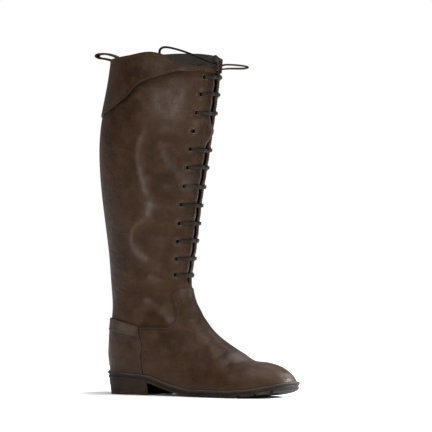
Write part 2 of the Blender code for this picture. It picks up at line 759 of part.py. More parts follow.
def turned_left(tangent):
    """Directions at right angles to tangents that lie in the middle plane."""
    normal = np.stack([-tangent[:, 2], np.zeros(len(tangent)), tangent[:, 0]], 1)
    return normal / np.linalg.norm(normal, axis=1, keepdims=True)


def build_pull_loop():
    """Strap folded over the back of the collar and sewn inside and outside."""
    width, thickness = 10.0, 1.5
    top = float(collar_t(np.array(1.0)))
    outside = OVERLAY_GAP + OVERLAY + GAP + 1.0 + 2 * GAP + thickness / 2
    inside = -(WALL + 5 * GAP + thickness / 2)
    legs = []
    for drop, distance in ((14.0, inside), (4.0, inside), (4.0, outside), (14.0, outside)):
        legs.append(offset_skin(np.array(top - drop), np.array(1.0), np.array(distance)))
    arch = [(11.5, 0.0, 432.5), (5.0, 0.0, 437.2), (-10.0, 0.0, 438.6), (-23.0, 0.0, 437.8),
            (-27.0, 0.0, 435.6), (-22.0, 0.0, 433.2), (-12.0, 0.0, 431.8), (-1.5, 0.0, 429.0)]
    route = curve_through(np.array(legs[:2] + arch + legs[2:]), steps=2)
    tangent = np.gradient(route, axis=0)
    across = np.tile((0.0, 1.0, 0.0), (len(route), 1))
    mesh = strip_mesh("pull_loop", route, across, turned_left(tangent), width, thickness)
    add_part("pull_loop", mesh, "dark_leather")


def build_tongue():
    """Soft strip behind the throat, clear of the upper's inner face."""
    depth = WALL + GAP + 0.8
    heights = (130.0, 142.0, 155.0, 172.0, 195.0, 220.0, 248.0, 278.0, 310.0, 342.0, 374.0, 400.0, 412.0)
    rows = np.interp(heights, skin(KNOTS, 0.0)[:, 2], KNOTS)
    reach = np.array([30.0, 21.0, 13.0])
    sides = []
    for side in (-1, 1):
        v = np.array([share_at(t, side, reach) for t in rows])
        sides.append(offset_skin(np.broadcast_to(rows[:, None], v.shape), v, np.full(v.shape, -depth)))
    bridge = (sides[0][:, 2] + sides[1][:, 2]) / 2
    crown = (sides[0][:, 2] + sides[1][:, 2] - sides[0][:, 1] - sides[1][:, 1]) / 2
    front = bridge + 0.35 * crown
    points = np.concatenate([sides[0], front[:, None], sides[1][:, ::-1]], 1)
    tongue = add_part("tongue", grid_mesh("tongue", points), "dark_leather")
    thicken(tongue, TONGUE, outward=False)


def eyelet_place(row, side):
    """Point and outward direction of an eyelet on the upper."""
    v = 0.1 * side
    for _ in range(3):
        t = float(height_to_t(np.array(row["height"]), np.array(v)))
        v = float(share_at(t, side, row["from_front"]))
    return t, v, skin(np.array(t), np.array(v)), skin_normal(np.array(t), np.array(v))


def facing_matrix(point, normal):
    """Frame at a point whose z axis is the outward direction."""
    turn = Vector(normal).to_track_quat("Z", "Y").to_matrix().to_4x4()
    return Matrix.Translation(Vector(point) * MM) @ turn


def eyelet_mesh():
    """Flange and barrel as one turned profile."""
    foot = OVERLAY_GAP
    profile = ((EYELET_BORE, -1.7), (EYELET_BARREL, -1.7), (EYELET_BARREL, foot), (EYELET_FLANGE, foot),
               (EYELET_BORE, foot + EYELET_RISE))
    rings = []
    for angle in np.arange(EYELET_SIDES) * 2 * np.pi / EYELET_SIDES:
        rings.append([(r * math.cos(angle), r * math.sin(angle), z) for r, z in profile])
    return grid_mesh("eyelet", np.array(rings + rings[:1]), ring=True)


def build_eyelets(upper):
    mesh = eyelet_mesh()
    shape = bmesh.new()
    for number, values in enumerate(EYELETS, 1):
        row = dict(zip(EYELET_COLUMNS, values))
        for side, name in ((-1, "outer"), (1, "inner")):
            _, _, point, normal = eyelet_place(row, side)
            eyelet = add_part("eyelet_%s_%02d" % (name, number), mesh.copy(), "antique_brass")
            eyelet.matrix_local = facing_matrix(point, normal)
            bmesh.ops.create_cone(shape, cap_ends=True, segments=EYELET_SIDES, radius1=HOLE_RADIUS * MM,
                                  radius2=HOLE_RADIUS * MM, depth=12.0 * MM,
                                  matrix=facing_matrix(point, normal))
    holes = bpy.data.meshes.new("eyelet_holes")
    shape.to_mesh(holes)
    shape.free()
    cut(upper, add_cutter("eyelet_holes", holes), "DIFFERENCE")


def build_lace_bars():
    """Flat lace across the throat from each outer eyelet to the inner one beside it."""
    over_eyelet = OVERLAY_GAP + EYELET_RISE + GAP + LACE_THICKNESS / 2
    over_leather = OVERLAY_GAP + GAP + LACE_THICKNESS / 2
    for number, values in enumerate(EYELETS, 1):
        if number - 1 == SKIPPED_BAR:
            continue
        row = dict(zip(EYELET_COLUMNS, values))
        places = [eyelet_place(row, side) for side in (-1, 1)]
        share = np.array([-1.0, -0.72, -0.42, -0.16, 0.16, 0.42, 0.72, 1.0])
        v = np.where(share < 0, -share * places[0][1], share * places[1][1])
        t = height_to_t(np.full(len(v), row["height"]), v)
        lift = np.where(np.abs(share) > 0.6, over_eyelet, over_leather)
        centres = offset_skin(t, v, lift)
        normals = skin_normal(t, v)
        across = np.cross(normals, np.gradient(centres, axis=0))
        across = across / np.linalg.norm(across, axis=1, keepdims=True)
        mesh = strip_mesh("lace_bar", centres, across, normals, LACE_WIDTH, LACE_THICKNESS)
        add_part("lace_bar_%02d" % number, mesh, "lace_leather")


def knot_end(direction):
    """First two points of a loop that leaves the knot straight out of its face."""
    direction = np.array(direction)
    radius = 1 / np.linalg.norm(2 * direction / np.array(KNOT_SIZE))
    return [np.array(KNOT_CENTRE) + direction * (radius + clearance) for clearance in KNOT_CLEARANCES]


def lace_tube(name, points):
    """Loose lace as a tube along a smooth curve through its points."""
    curve = bpy.data.curves.new(name, "CURVE")
    curve.dimensions = "3D"
    curve.bevel_depth = CORD_RADIUS * MM
    curve.bevel_resolution = 2
    curve.use_fill_caps = True
    route = curve_through(points, steps=2)
    spline = curve.splines.new("POLY")
    spline.points.add(len(route) - 1)
    for point, place in zip(spline.points, route):
        point.co = (*(Vector(place) * MM), 1.0)
    tube = bpy.data.objects.new(name, curve)
    PARTS.objects.link(tube)
    tube.parent = ROOT
    curve.materials.append(finish_material("lace_leather"))


def build_bow():
    shape = bmesh.new()
    size = Matrix.Diagonal(Vector((*KNOT_SIZE, 1000.0)) * MM)
    bmesh.ops.create_uvsphere(shape, u_segments=10, v_segments=6, radius=0.5, matrix=size)
    mesh = bpy.data.meshes.new("lace_knot")
    shape.to_mesh(mesh)
    shape.free()
    add_part("lace_knot", mesh, "lace_leather").location = Vector(KNOT_CENTRE) * MM
    for name, loop in LACE_LOOPS.items():
        lace_tube(name, [*knot_end(loop["leaves"]), *loop["points"], *reversed(knot_end(loop["meets"]))])


build_outsole()
build_welt()
build_heel()
build_insole()
boot_upper = build_upper()
build_tongue()
build_vamp()
build_counter()
build_cuff()
build_back_stay()
build_pull_loop()
build_eyelets(boot_upper)
build_lace_bars()
build_bow()
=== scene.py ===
"""Looks of the laced riding boot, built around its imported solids.

The boot's own functions are repeated here at a finer scale, in last coordinates: millimetres,
x from the heel to the toe, y to the inner side, z up. place() turns them into the row frame.
"""
import math

import bmesh
import bpy
import numpy as np
from mathutils import Matrix, Vector
from mathutils.kdtree import KDTree


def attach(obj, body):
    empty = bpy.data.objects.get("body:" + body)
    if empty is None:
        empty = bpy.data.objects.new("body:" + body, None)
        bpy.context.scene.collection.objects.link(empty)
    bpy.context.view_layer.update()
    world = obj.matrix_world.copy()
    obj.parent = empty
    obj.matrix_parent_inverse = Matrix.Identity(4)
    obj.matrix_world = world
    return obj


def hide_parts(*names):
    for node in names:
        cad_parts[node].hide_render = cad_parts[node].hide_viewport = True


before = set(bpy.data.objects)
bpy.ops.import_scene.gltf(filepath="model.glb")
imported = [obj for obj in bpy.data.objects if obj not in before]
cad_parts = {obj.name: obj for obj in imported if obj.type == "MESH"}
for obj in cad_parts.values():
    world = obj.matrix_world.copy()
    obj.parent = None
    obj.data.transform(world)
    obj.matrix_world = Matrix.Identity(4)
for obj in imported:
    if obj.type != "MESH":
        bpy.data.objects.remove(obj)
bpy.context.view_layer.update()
MM = 0.001

# Driving sizes of the sole
LENGTH = 276.0
HEEL_CENTRE = 36.0
HEEL_LENGTH = 75.0
BALL = 196.0
TOE_POWER = 2.2
HEEL_POWER = 2.2
TOE_SWING = 5.0
SWING_START = 130.0
OUTSOLE = 5.4
WELT = 3.6
OVERHANG = 4.0
WELT_DEPTH = 9.0
GAP = 0.3

# Driving sizes of the leather
WALL = 2.0
OVERLAY = 1.2
OVERLAY_GAP = 0.4
OVERLAY_SINK = 0.3
STAY_HALF_WIDTH = 6.0
STAY = 1.4
STAY_BRIDGE = (5.0, 1.2)
TONGUE = 1.6

# Lace, and the holes for the eyelets
LACE_WIDTH = 4.2
LOOP_THICKNESS = 1.6
LOOP_LEAN = 26.0
HOLE_RADIUS = 2.7

# Half-widths of the sole to the outer and to the inner side
OUTLINE_COLUMNS = ("station", "outer", "inner")
OUTLINE = (
    (36.0, 33.0, 33.0),
    (80.0, 33.5, 32.0),
    (118.0, 35.5, 30.5),
    (155.0, 42.0, 38.5),
    (196.0, 49.0, 47.0),
)

# Height of the tread over the floor: heel seat, arch, flat ball, toe spring
TREAD_COLUMNS = ("station", "height")
TREAD = (
    (0.0, 21.0),
    (40.0, 18.6),
    (75.0, 15.8),
    (97.0, 9.4),
    (115.0, 4.9),
    (135.0, 1.1),
    (150.0, 0.0),
    (205.0, 0.0),
    (228.0, 1.6),
    (250.0, 5.2),
    (276.0, 12.0),
)

# Sections of the foot, from the toe back: each runs from the ridge down to the sole's edge
FOOT_COLUMNS = ("ridge_x", "ridge_z", "edge_x", "swell", "widest", "crown")
FOOT = (
    (271.0, 20.6, 226.0, 0.0, 1.65, 2.2),
    (267.0, 27.0, 221.0, 0.0, 1.56, 2.2),
    (259.5, 33.0, 214.0, 0.3, 1.36, 2.2),
    (251.5, 37.4, 206.0, 0.6, 1.16, 2.2),
    (241.5, 40.8, 198.0, 1.0, 1.00, 2.2),
    (228.0, 43.2, 189.0, 1.2, 0.90, 2.2),
    (211.0, 44.6, 177.0, 1.5, 0.85, 2.2),
    (193.0, 55.0, 161.0, 1.5, 0.80, 2.2),
    (175.0, 65.8, 143.0, 1.5, 0.74, 2.15),
    (158.0, 77.6, 124.0, 1.5, 0.68, 2.1),
    (143.5, 92.0, 103.0, 1.5, 0.62, 2.05),
    (132.3, 107.5, 80.0, 2.5, 0.57, 2.0),
    (124.8, 120.5, 57.0, 4.0, 0.55, 1.95),
    (121.0, 131.5, 38.0, 5.5, 0.54, 1.9),
    (119.5, 140.5, 22.0, 8.4, 0.53, 1.88),
    (119.2, 147.0, 12.0, 14.3, 0.52, 1.86),
    (119.5, 152.5, 6.2, 23.2, 0.52, 1.84),
)

# Sections of heel, ankle and shaft: each runs from the laced front to the back seam
SHAFT_COLUMNS = ("front_x", "front_z", "back_x", "back_z", "half_width", "widest", "prow", "back")
SHAFT = (
    (120.2, 157.5, 4.0, 30.2, 35.5, 0.52, 1.82, 2.2),
    (121.4, 164.0, 1.4, 43.0, 36.0, 0.52, 1.80, 2.2),
    (123.0, 171.5, 2.0, 60.0, 36.8, 0.52, 1.75, 2.2),
    (125.1, 181.0, 3.7, 80.0, 37.5, 0.52, 1.72, 2.2),
    (127.3, 192.0, 6.0, 104.0, 38.7, 0.52, 1.70, 2.1),
    (129.5, 207.0, 4.5, 135.0, 41.0, 0.52, 1.68, 2.05),
    (131.8, 225.0, 2.0, 172.0, 45.0, 0.53, 1.66, 2.0),
    (135.0, 248.0, -3.0, 216.0, 49.5, 0.54, 1.65, 2.0),
    (140.4, 277.0, -8.5, 263.0, 54.0, 0.55, 1.65, 2.0),
    (147.0, 312.0, -11.0, 312.0, 57.0, 0.55, 1.65, 2.0),
    (154.3, 352.0, -7.0, 352.0, 57.5, 0.55, 1.65, 2.0),
    (160.6, 392.0, 2.5, 392.0, 57.0, 0.55, 1.65, 2.0),
    (164.0, 420.0, 7.5, 420.0, 56.0, 0.55, 1.65, 2.0),
    (166.5, 450.0, 11.0, 450.0, 55.0, 0.55, 1.65, 2.0),
)

# Rows of the section tables where the form changes and where leather pieces start and stop
TOE_ROWS = 7
HEEL_ROW = 13
THROAT_ROW = 14
FIRST_CLOSED_ROW = len(FOOT)
ANKLE_ROW = 19
CALF_ROW = 26
COLLAR_BASE_ROW = 27
COUNTER_ROWS = (11, 21)
STAY_BASE_ROW = 21

# Half the throat's opening along the row of eyelets
SLIT_COLUMNS = ("height", "half_gap")
SLIT = (
    (140.5, 0.0),
    (144.0, 2.2),
    (148.0, 3.2),
    (170.0, 3.8),
    (330.0, 4.6),
    (440.0, 5.2),
)

# Collar and lower edge of the cuff, by the share of the way from the front to the back seam
COLLAR_COLUMNS = ("share", "outer", "inner")
COLLAR = (
    (0.00, 416.5, 424.0),
    (0.13, 417.5, 428.0),
    (0.24, 419.5, 432.0),
    (0.31, 425.0, 434.5),
    (0.37, 433.0, 436.0),
    (0.45, 435.8, 437.5),
    (0.60, 431.8, 438.5),
    (0.85, 428.3, 434.0),
    (1.00, 428.0, 428.0),
)
CUFF_COLUMNS = ("share", "height")
CUFF = (
    (0.00, 408.5),
    (0.12, 410.8),
    (0.24, 411.5),
    (0.33, 407.5),
    (0.40, 403.0),
    (0.49, 395.5),
    (0.56, 380.3),
    (0.64, 369.2),
    (0.73, 360.5),
    (1.00, 352.0),
)

# Seams seen from the side, as x and z of the points that each curve goes through
VAMP_SEAM = (
    (66.5, 87.0), (96.0, 87.0), (108.5, 87.6), (115.5, 93.0), (116.6, 101.0),
    (113.0, 112.0), (108.2, 123.0), (108.4, 130.0), (113.0, 134.0), (121.0, 137.0),
)
COUNTER_FRONT = ((69.0, 25.0), (67.4, 38.0), (67.8, 52.0), (70.4, 63.0), (67.6, 73.0), (64.6, 88.0))
STRAP_TOP = ((-12.0, 99.0), (18.0, 97.0), (36.0, 94.2), (64.6, 87.6))
STRAP_BOTTOM = ((-12.0, 83.0), (18.0, 81.0), (36.0, 78.6), (67.6, 73.0))
SEAM_GAP = 0.6

# Eyelets, from the top pair down, and how far each lies from the front along the leather
EYELET_COLUMNS = ("height", "from_front")
EYELETS = (
    (404.0, 19.5),
    (382.0, 21.3),
    (359.0, 24.0),
    (335.5, 25.0),
    (313.0, 25.0),
    (289.5, 25.0),
    (266.0, 25.5),
    (242.5, 26.0),
    (219.0, 26.5),
    (196.0, 27.0),
    (174.0, 26.5),
    (153.5, 25.0),
)
SKIPPED_BAR = 3

# Lift off the leather and width of a lace bar, by the share of the way from the middle to its eyelet
BAR_LIFT = ((0.0, 0.5, 0.72, 0.84, 0.93, 1.0), (1.5, 1.5, 1.8, 2.1, 1.0, -2.4))
BAR_WIDTH = ((0.0, 0.25, 0.7, 0.9, 1.0), (4.6, 4.6, 4.3, 3.7, 2.9))
BAR_THICKNESS = 1.7

# Half section of an eyelet's ring, as radius and height over the leather: barrel, rolled rim, foot
RIM_ANGLES = np.linspace(0.2, math.pi - 0.4, 7)
EYELET_SECTION = (
    (2.42, -1.9), (2.42, 0.3),
    *((3.1 - 0.66 * math.cos(a), 0.45 + 0.66 * math.sin(a)) for a in RIM_ANGLES),
    (3.75, 0.45), (3.85, 0.0), (2.6, 0.0), (2.6, -1.9),
)

# The bow at the top of the throat: each loop leaves and meets the knot along two directions
KNOT_CENTRE = (168.4, -8.0, 417.0)
KNOT_SIZE = (8.8, 8.8, 7.6)
KNOT_STEPS = (-1.6, 0.3, 2.5)
LACE_LOOPS = {
    "lace_loop_rear": {
        "leaves": (-0.62, 0.25, 0.74),
        "points": (
            (160.3, -6.5, 421.8), (152.0, -12.0, 425.5), (140.0, -21.5, 432.0), (124.0, -31.0, 438.5),
            (110.0, -38.0, 442.0), (103.5, -41.0, 440.0), (102.0, -41.5, 434.0), (106.0, -40.0, 426.0),
            (115.0, -36.5, 420.0), (128.0, -31.0, 417.0), (141.0, -25.0, 417.5), (152.0, -19.0, 420.4),
            (160.0, -14.5, 421.0),
        ),
        "meets": (-0.55, -0.80, 0.25),
    },
    "lace_loop_side": {
        "leaves": (0.86, 0.45, 0.22),
        "points": (
            (175.5, -1.5, 419.4), (181.0, 5.5, 419.4), (187.0, 14.5, 418.8), (191.5, 21.5, 417.8),
            (192.8, 24.6, 416.6), (189.5, 21.5, 415.2), (183.5, 13.0, 414.8), (177.5, 3.5, 414.6),
        ),
        "meets": (0.82, 0.30, -0.49),
    },
    "lace_loop_top": {
        "leaves": (-0.10, -0.55, 0.83),
        "points": (
            (165.6, -12.6, 424.0), (164.6, -11.4, 427.4), (165.0, -8.0, 430.6), (167.0, -5.0, 428.4),
            (168.6, -4.2, 424.6),
        ),
        "meets": (0.35, 0.50, 0.79),
    },
}

# How finely the surfaces are drawn: points closer than MERGE, in metres, become one
FINE = 1201
MERGE = 0.000004
SHARP_ANGLE = 48.0
LEATHER_STEP = 2.4
ARC_STEPS = 26
LOFT_STATIONS = np.linspace(37.5, 194.5, 84)

# Soft relief, and painted sheen and shade with some grey wear on the leather, along routes seen from the side:
# side is -1 for the outer, 1 for the inner and 0 for both, relief is in millimetres, and shade runs from -1,
# painted shade, to 1, a grey bloom of painted sheen and wear
STROKE_COLUMNS = ("side", "relief", "shade", "width", "route")
STROKES = (
    (-1, 1.3, 0.80, 3.2, ((89, 340), (80, 322), (77, 308), (79, 287), (84, 262), (88, 246))),
    (-1, 0.0, 0.16, 9.0, ((86, 318), (87, 287), (91, 256))),
    (-1, -0.9, -0.35, 8.0, ((101, 338), (94, 312), (97, 280), (103, 255))),
    (-1, -0.6, -0.30, 7.0, ((70, 330), (66, 300), (70, 268))),
    (-1, 1.1, 0.90, 4.4, ((92, 252), (88, 240), (83, 227))),
    (-1, 1.4, 0.78, 3.2, ((84, 226), (68, 216), (62, 206), (61, 196), (66, 184), (77, 175), (92, 168))),
    (-1, 0.0, 0.30, 8.0, ((66, 192), (76, 184), (88, 182))),
    (-1, -1.0, -0.40, 7.0, ((94, 222), (78, 207), (76, 197), (80, 188), (96, 180))),
    (-1, -0.7, -0.30, 7.0, ((56, 224), (48, 204), (52, 184), (66, 166))),
    (-1, 0.7, 0.38, 3.6, ((103, 326), (109, 308), (114, 294), (121, 283), (130, 266))),
    (-1, 0.0, 0.25, 7.0, ((120, 284), (130, 268), (132, 256))),
    (-1, 0.6, 0.55, 5.0, ((79, 153), (85, 148))),
    (-1, -0.5, -0.20, 6.0, ((72, 160), (94, 156), (112, 160))),
    (-1, -0.9, -0.30, 8.0, ((62, 140), (84, 128), (100, 118))),
    (-1, 1.0, 0.52, 4.4, ((70, 127), (84, 117), (98, 106), (106, 100))),
    (-1, 0.5, 0.50, 3.4, ((100, 99), (108, 96), (116, 99))),
    (-1, -0.9, -0.30, 6.0, ((70, 108), (88, 101), (102, 93))),
    (-1, 0.0, 0.36, 10.0, ((124, 402), (124, 374), (120, 345))),
    (-1, 0.0, 0.44, 10.0, ((106, 394), (104, 372), (106, 356))),
    (-1, 0.5, 0.34, 4.0, ((136, 398), (131, 380), (127, 366), (119, 352))),
    (-1, 0.0, 0.24, 14.0, ((96, 372), (108, 352), (118, 330))),
    (-1, 0.0, 0.32, 6.0, ((132, 410), (142, 407), (152, 405))),
    (-1, 0.0, 0.30, 9.0, ((84, 422), (100, 421), (118, 418))),
    (-1, 0.0, 0.26, 8.0, ((30, 366), (44, 376), (58, 388))),
    (-1, 0.0, -0.70, 12.0, ((24, 262), (26, 215), (27, 180), (27, 150), (26, 112))),
    (-1, 0.5, 0.60, 2.6, ((13, 346), (11, 313), (12, 281), (16, 250))),
    (-1, -1.1, -0.40, 8.0, ((30, 352), (50, 358), (66, 370))),
    (-1, 0.9, 0.12, 3.6, ((122, 246), (116, 243), (110, 238))),
    (-1, 0.7, 0.40, 3.0, ((140, 345), (147, 348), (154, 351))),
    (-1, 0.0, 0.40, 8.0, ((30, 89), (48, 84), (62, 81))),
    (0, 0.6, 0.55, 5.0, ((190, 58), (199, 50), (209, 44.5), (220, 43))),
    (0, -1.4, -0.90, 3.0, ((179, 57), (185, 51), (192, 45), (201, 39))),
    (0, -0.6, -0.25, 4.0, ((170, 64), (176, 56), (182, 46))),
    (0, 0.5, -0.10, 4.5, ((162, 70), (168, 60), (174, 50))),
    (0, 0.0, 0.18, 12.0, ((124, 78), (144, 62), (160, 44), (178, 30))),
    (0, 0.0, 0.32, 5.5, ((200, 25), (224, 25), (244, 27))),
    (0, 0.0, 0.36, 5.0, ((119, 143), (121, 134), (124, 126))),
    (0, -0.9, -0.25, 6.0, ((118, 118), (126, 108), (136, 94))),
    (0, 0.7, 0.20, 7.0, ((124, 124), (132, 112), (142, 99))),
    (0, 0.0, 0.40, 8.0, ((222, 44), (238, 42), (250, 38))),
    (0, 0.0, 0.70, 3.0, ((264, 31), (269, 26))),
    (0, 0.0, -0.25, 8.0, ((120, 30), (160, 20), (210, 17), (250, 20))),
    (1, 1.2, 0.60, 4.2, ((84, 330), (80, 296), (86, 258))),
    (1, 1.2, 0.60, 4.5, ((82, 224), (64, 206), (66, 184), (90, 170))),
    (1, -0.9, -0.30, 8.0, ((90, 216), (76, 200), (82, 186))),
    (1, -0.9, -0.30, 8.0, ((64, 138), (84, 126), (102, 114))),
    (1, 0.9, 0.35, 5.0, ((74, 120), (92, 110), (108, 100))),
    (1, -0.7, -0.25, 7.0, ((100, 330), (96, 300), (100, 262))),
    (1, 0.0, 0.45, 16.0, ((124, 396), (124, 352))),
)

# A stroke has a core and a wider halo, fades at its ends and over the boot's middle, and wavers on its way
STROKE_CORE = 0.8
STROKE_HALO = 0.3
HALO_WIDTH = 2.3
END_FADE = 0.25
SIDE_FADE = 14.0
WAVER = 0.18
CREASES_PER_EYELET = 3

# The facings are pinched in at each lace bar, and the outer one turns out where the fourth pair of
# eyelets carries no lace
FLARE_HEIGHT = 335.0
FLARE_REACH = (11.0, 8.5)
FLARE_RISE = 10.0
PINCH = 0.7
PINCH_REACH = 7.0
LACED_MARGIN = 8.0

# Stitching, with the distances of its rows from the edges that they follow
STITCH_LENGTH = 2.3
STITCH_PITCH = 3.1
STITCH_SHARES = np.array([0.0, 0.14, 0.5, 0.86, 1.0])
STITCH_RISE = np.array([-0.45, 0.02, 0.18, 0.02, -0.45])
THREAD_RADIUS = 0.30 * np.array([0.55, 0.95, 1.0, 0.95, 0.55])
FACING_SPAN = (150.0, 408.0)
FACING_EDGE = 0.2
FACING_ROWS = (3.6, 7.0)
VAMP_ROWS = (-1.8, -5.2)
COUNTER_STITCH_ROWS = (1.8, 4.6)
STRAP_INSET = 2.2
STAY_INSET = 1.6
CUFF_INSET = 2.2
COLLAR_INSET = 3.0
WELT_INSET = 2.2

# Side profiles of the sole's layers, bottom first, as inset and height over the tread or the welt's foot
OUTSOLE_PROFILE = (
    (2.4, 0.0), (1.7, 0.35), (1.2, 0.9), (1.0, 1.5), (0.95, 2.5), (1.0, 3.3), (1.35, 3.55), (1.7, 3.7),
    (1.75, 4.6), (1.9, OUTSOLE + 0.25),
)
WELT_PROFILE = (
    (1.0, -0.1), (0.3, 0.35), (0.0, 1.0), (-0.05, 1.7), (0.0, 2.4), (0.3, 3.1), (0.9, WELT),
    (3.4, WELT - 0.1), (WELT_DEPTH, WELT - 1.3), (WELT_DEPTH, 0.0),
)
# Shade of the welt by its height over its foot: painted shade low down, where it meets the outsole, and lighter
# at its top edge
WELT_SHADE = ((0.0, 1.4, 2.6, WELT), (-1.0, -0.6, 0.2, 0.9))

# Heel: inset of its side by the share of its height, and wear at the back of its foot
HEEL_LEVELS = (
    (1.9, 1.0), (2.0, 0.93), (2.35, 0.66), (2.75, 0.62), (2.9, 0.60), (3.6, 0.30), (3.9, 0.285),
    (3.75, 0.27), (4.3, 0.05), (4.6, 0.0),
)
HEEL_WEAR = 2.0
WEAR_REACH = 12.0

# Grooves between the lugs
GROOVE_PITCH = 21.5
GROOVE_WIDTH = 3.6
GROOVE_DEPTH = 2.3
GROOVE_REACH = 24.0
GROOVE_START = 148.0

# Tongue: heights of its ends, reach to each side of its edge and of its middle, and its bulge and waves
TONGUE_SPAN = (130.0, 412.0)
TONGUE_REACH = (30.0, 13.0)
TONGUE_BULGE = 2.6
TONGUE_WAVE = 0.35

# Pull loop: points of its arch, and its width and thickness
PULL_LOOP_ARCH = (
    (10.0, 0.0, 430.4), (4.0, 0.0, 434.4), (-9.0, 0.0, 437.8), (-21.5, 0.0, 438.0),
    (-25.5, 0.0, 435.6), (-21.0, 0.0, 433.0), (-12.0, 0.0, 431.6), (-1.5, 0.0, 429.0),
)
PULL_LOOP_SIZE = (10.0, 2.8)

# Camera of the photograph
CAMERA_PLACE = (2757.0, -3850.0, 208.0)
CAMERA_AZIMUTH = 34.0
CAMERA_LENS = 305.5
CAMERA_SENSOR = 36.0
CAMERA_SHIFT = 16.0 / 432.0

# Stage, in metres of the row frame: the floor glows but for the boot's footprint, where the glow fades
# out as a painted contact shadow, and the sky is bright to the camera and dimmer as a light
FLOOR_RADII = (0.0, 0.5, 1.2, 2.5)
FLOOR_GLOW = 0.70
FOOTPRINT = (-0.02, 0.19)
SHADOW_REACH = (0.045, 0.085)
SKY_AS_LIGHT = 0.24
SKY_BEHIND = 1.0
LAMPS = (
    ("top_softbox", (0.5, -0.5, 2.4), (0.1, 0.0, 0.1), (1.3, 1.3), 34.0),
    ("front_softbox", (2.5, -0.9, 1.4), (0.05, 0.0, 0.2), (0.7, 1.5), 26.0),
    ("side_softbox", (0.5, -2.9, 1.5), (0.05, 0.0, 0.2), (0.6, 1.6), 24.0),
    ("rear_softbox", (0.3, 1.5, 2.2), (0.2, 0.0, 0.05), (0.6, 0.6), 8.0),
    ("toe_strip", (0.66, 0.42, 0.26), (0.235, 0.02, 0.0), (0.14, 0.20), 0.42, (0.80, 0.90, 1.0), 24.0),
)


def column(table, names, name):
    """One named column of a table."""
    return np.array([row[names.index(name)] for row in table], float)


def arc_length(points):
    """Length along a line of points up to each."""
    return np.concatenate([[0.0], np.cumsum(np.linalg.norm(np.diff(points, axis=0), axis=1))])


def halved(low, high, is_below, times):
    """Both ends of a range, closed in on where a condition stops holding."""
    for _ in range(times):
        middle = (low + high) / 2
        below = is_below(middle)
        low, high = np.where(below, middle, low), np.where(below, high, middle)
    return low, high


def turns(count):
    """Evenly spaced angles round a circle."""
    return np.arange(count) * 2 * np.pi / count


def smooth(x, stations, values):
    """Cubic through a table that never swings past its values, level beyond its ends."""
    step = np.diff(stations)
    slope = np.diff(values) / step
    before, after = slope[:-1], slope[1:]
    same = before * after > 0
    total = np.where(same, before + after, 1.0)
    tangent = np.concatenate([slope[:1], np.where(same, 2 * before * after / total, 0.0), slope[-1:]])
    x = np.clip(x, stations[0], stations[-1])
    i = np.clip(np.searchsorted(stations, x) - 1, 0, len(step) - 1)
    a = (x - stations[i]) / step[i]
    level = values[i] * (1 + 2 * a) * (1 - a) ** 2 + values[i + 1] * a * a * (3 - 2 * a)
    return level + step[i] * (tangent[i] * a * (1 - a) ** 2 - tangent[i + 1] * a * a * (1 - a))


def table_value(table, names, x, name):
    """Value of one column where the first column reaches x."""
    return smooth(x, column(table, names, names[0]), column(table, names, name))


def superellipse(a, power):
    """Half-width of a rounded end, 1 where a is 0 and 0 where a is 1."""
    return (1 - np.clip(a, 0, 1) ** power) ** (1 / power)


def centre_line(x):
    """The sole's middle swings to the inner side towards the toe."""
    a = np.clip((np.asarray(x, float) - SWING_START) / (LENGTH - SWING_START), 0, 1)
    return TOE_SWING * a * a * (3 - 2 * a)


def tread_z(x):
    return table_value(TREAD, TREAD_COLUMNS, np.asarray(x, float), "height")


def feather_z(x):
    """Lower edge of the upper, just over the welt."""
    return tread_z(x) + OUTSOLE + WELT + 2 * GAP


def half_width(x, side, inset):
    """Half-width of the sole's outline at x, drawn in by inset."""
    x = np.asarray(x, float)
    width = table_value(OUTLINE, OUTLINE_COLUMNS, x, "outer" if side < 0 else "inner") - inset
    heel = superellipse((HEEL_CENTRE - x) / (HEEL_CENTRE - inset), HEEL_POWER)
    toe = superellipse((x - BALL) / (LENGTH - BALL - inset), TOE_POWER)
    return width * heel * toe


def foot_half_section(row, side, share, follow):
    """Points of a foot section from its ridge to the sole's edge, which those of the toe follow."""
    x = row["ridge_x"] + (row["edge_x"] - row["ridge_x"]) * share
    ridge_edge, end_edge = feather_z(row["ridge_x"]), feather_z(row["edge_x"])
    base = feather_z(x) if follow else ridge_edge + (end_edge - ridge_edge) * share
    z = base + (row["ridge_z"] - ridge_edge) * (1 - share)
    edge = half_width(row["edge_x"], side, OVERHANG)
    full = edge + row["swell"]
    front = superellipse(1 - share / row["widest"], row["crown"])
    if row["widest"] >= 1:
        at_edge = superellipse(1 - 1 / row["widest"], row["crown"])
        y = full / at_edge * front - row["swell"] * share ** 2
    else:
        drop = 1 - (edge / full) ** HEEL_POWER
        behind = np.clip((share - row["widest"]) / (1 - row["widest"]), 0, 1)
        rear = superellipse(drop ** (1 / HEEL_POWER) * behind, HEEL_POWER)
        y = full * np.where(share < row["widest"], front, rear)
    return np.stack([x, side * y + centre_line(x), z], 1)


def shaft_half_section(row, side, share):
    """Points of a closed section from the laced front to the back seam."""
    x = row["front_x"] + (row["back_x"] - row["front_x"]) * share
    z = row["front_z"] + (row["back_z"] - row["front_z"]) * share
    front = superellipse(1 - share / row["widest"], row["prow"])
    rear = superellipse((share - row["widest"]) / (1 - row["widest"]), row["back"])
    y = side * row["half_width"] * np.where(share < row["widest"], front, rear)
    return np.stack([x, y, z], 1)


def half_section(index, side):
    """Close points of a half section, and the length along it up to each."""
    share = (1 - np.cos(np.linspace(0, np.pi, 4 * FINE))) / 2
    if index < FIRST_CLOSED_ROW:
        row = dict(zip(FOOT_COLUMNS, FOOT[index]))
        points = foot_half_section(row, side, share, index < TOE_ROWS)
    else:
        row = dict(zip(SHAFT_COLUMNS, SHAFT[index - FIRST_CLOSED_ROW]))
        points = shaft_half_section(row, side, share)
    return points, arc_length(points)


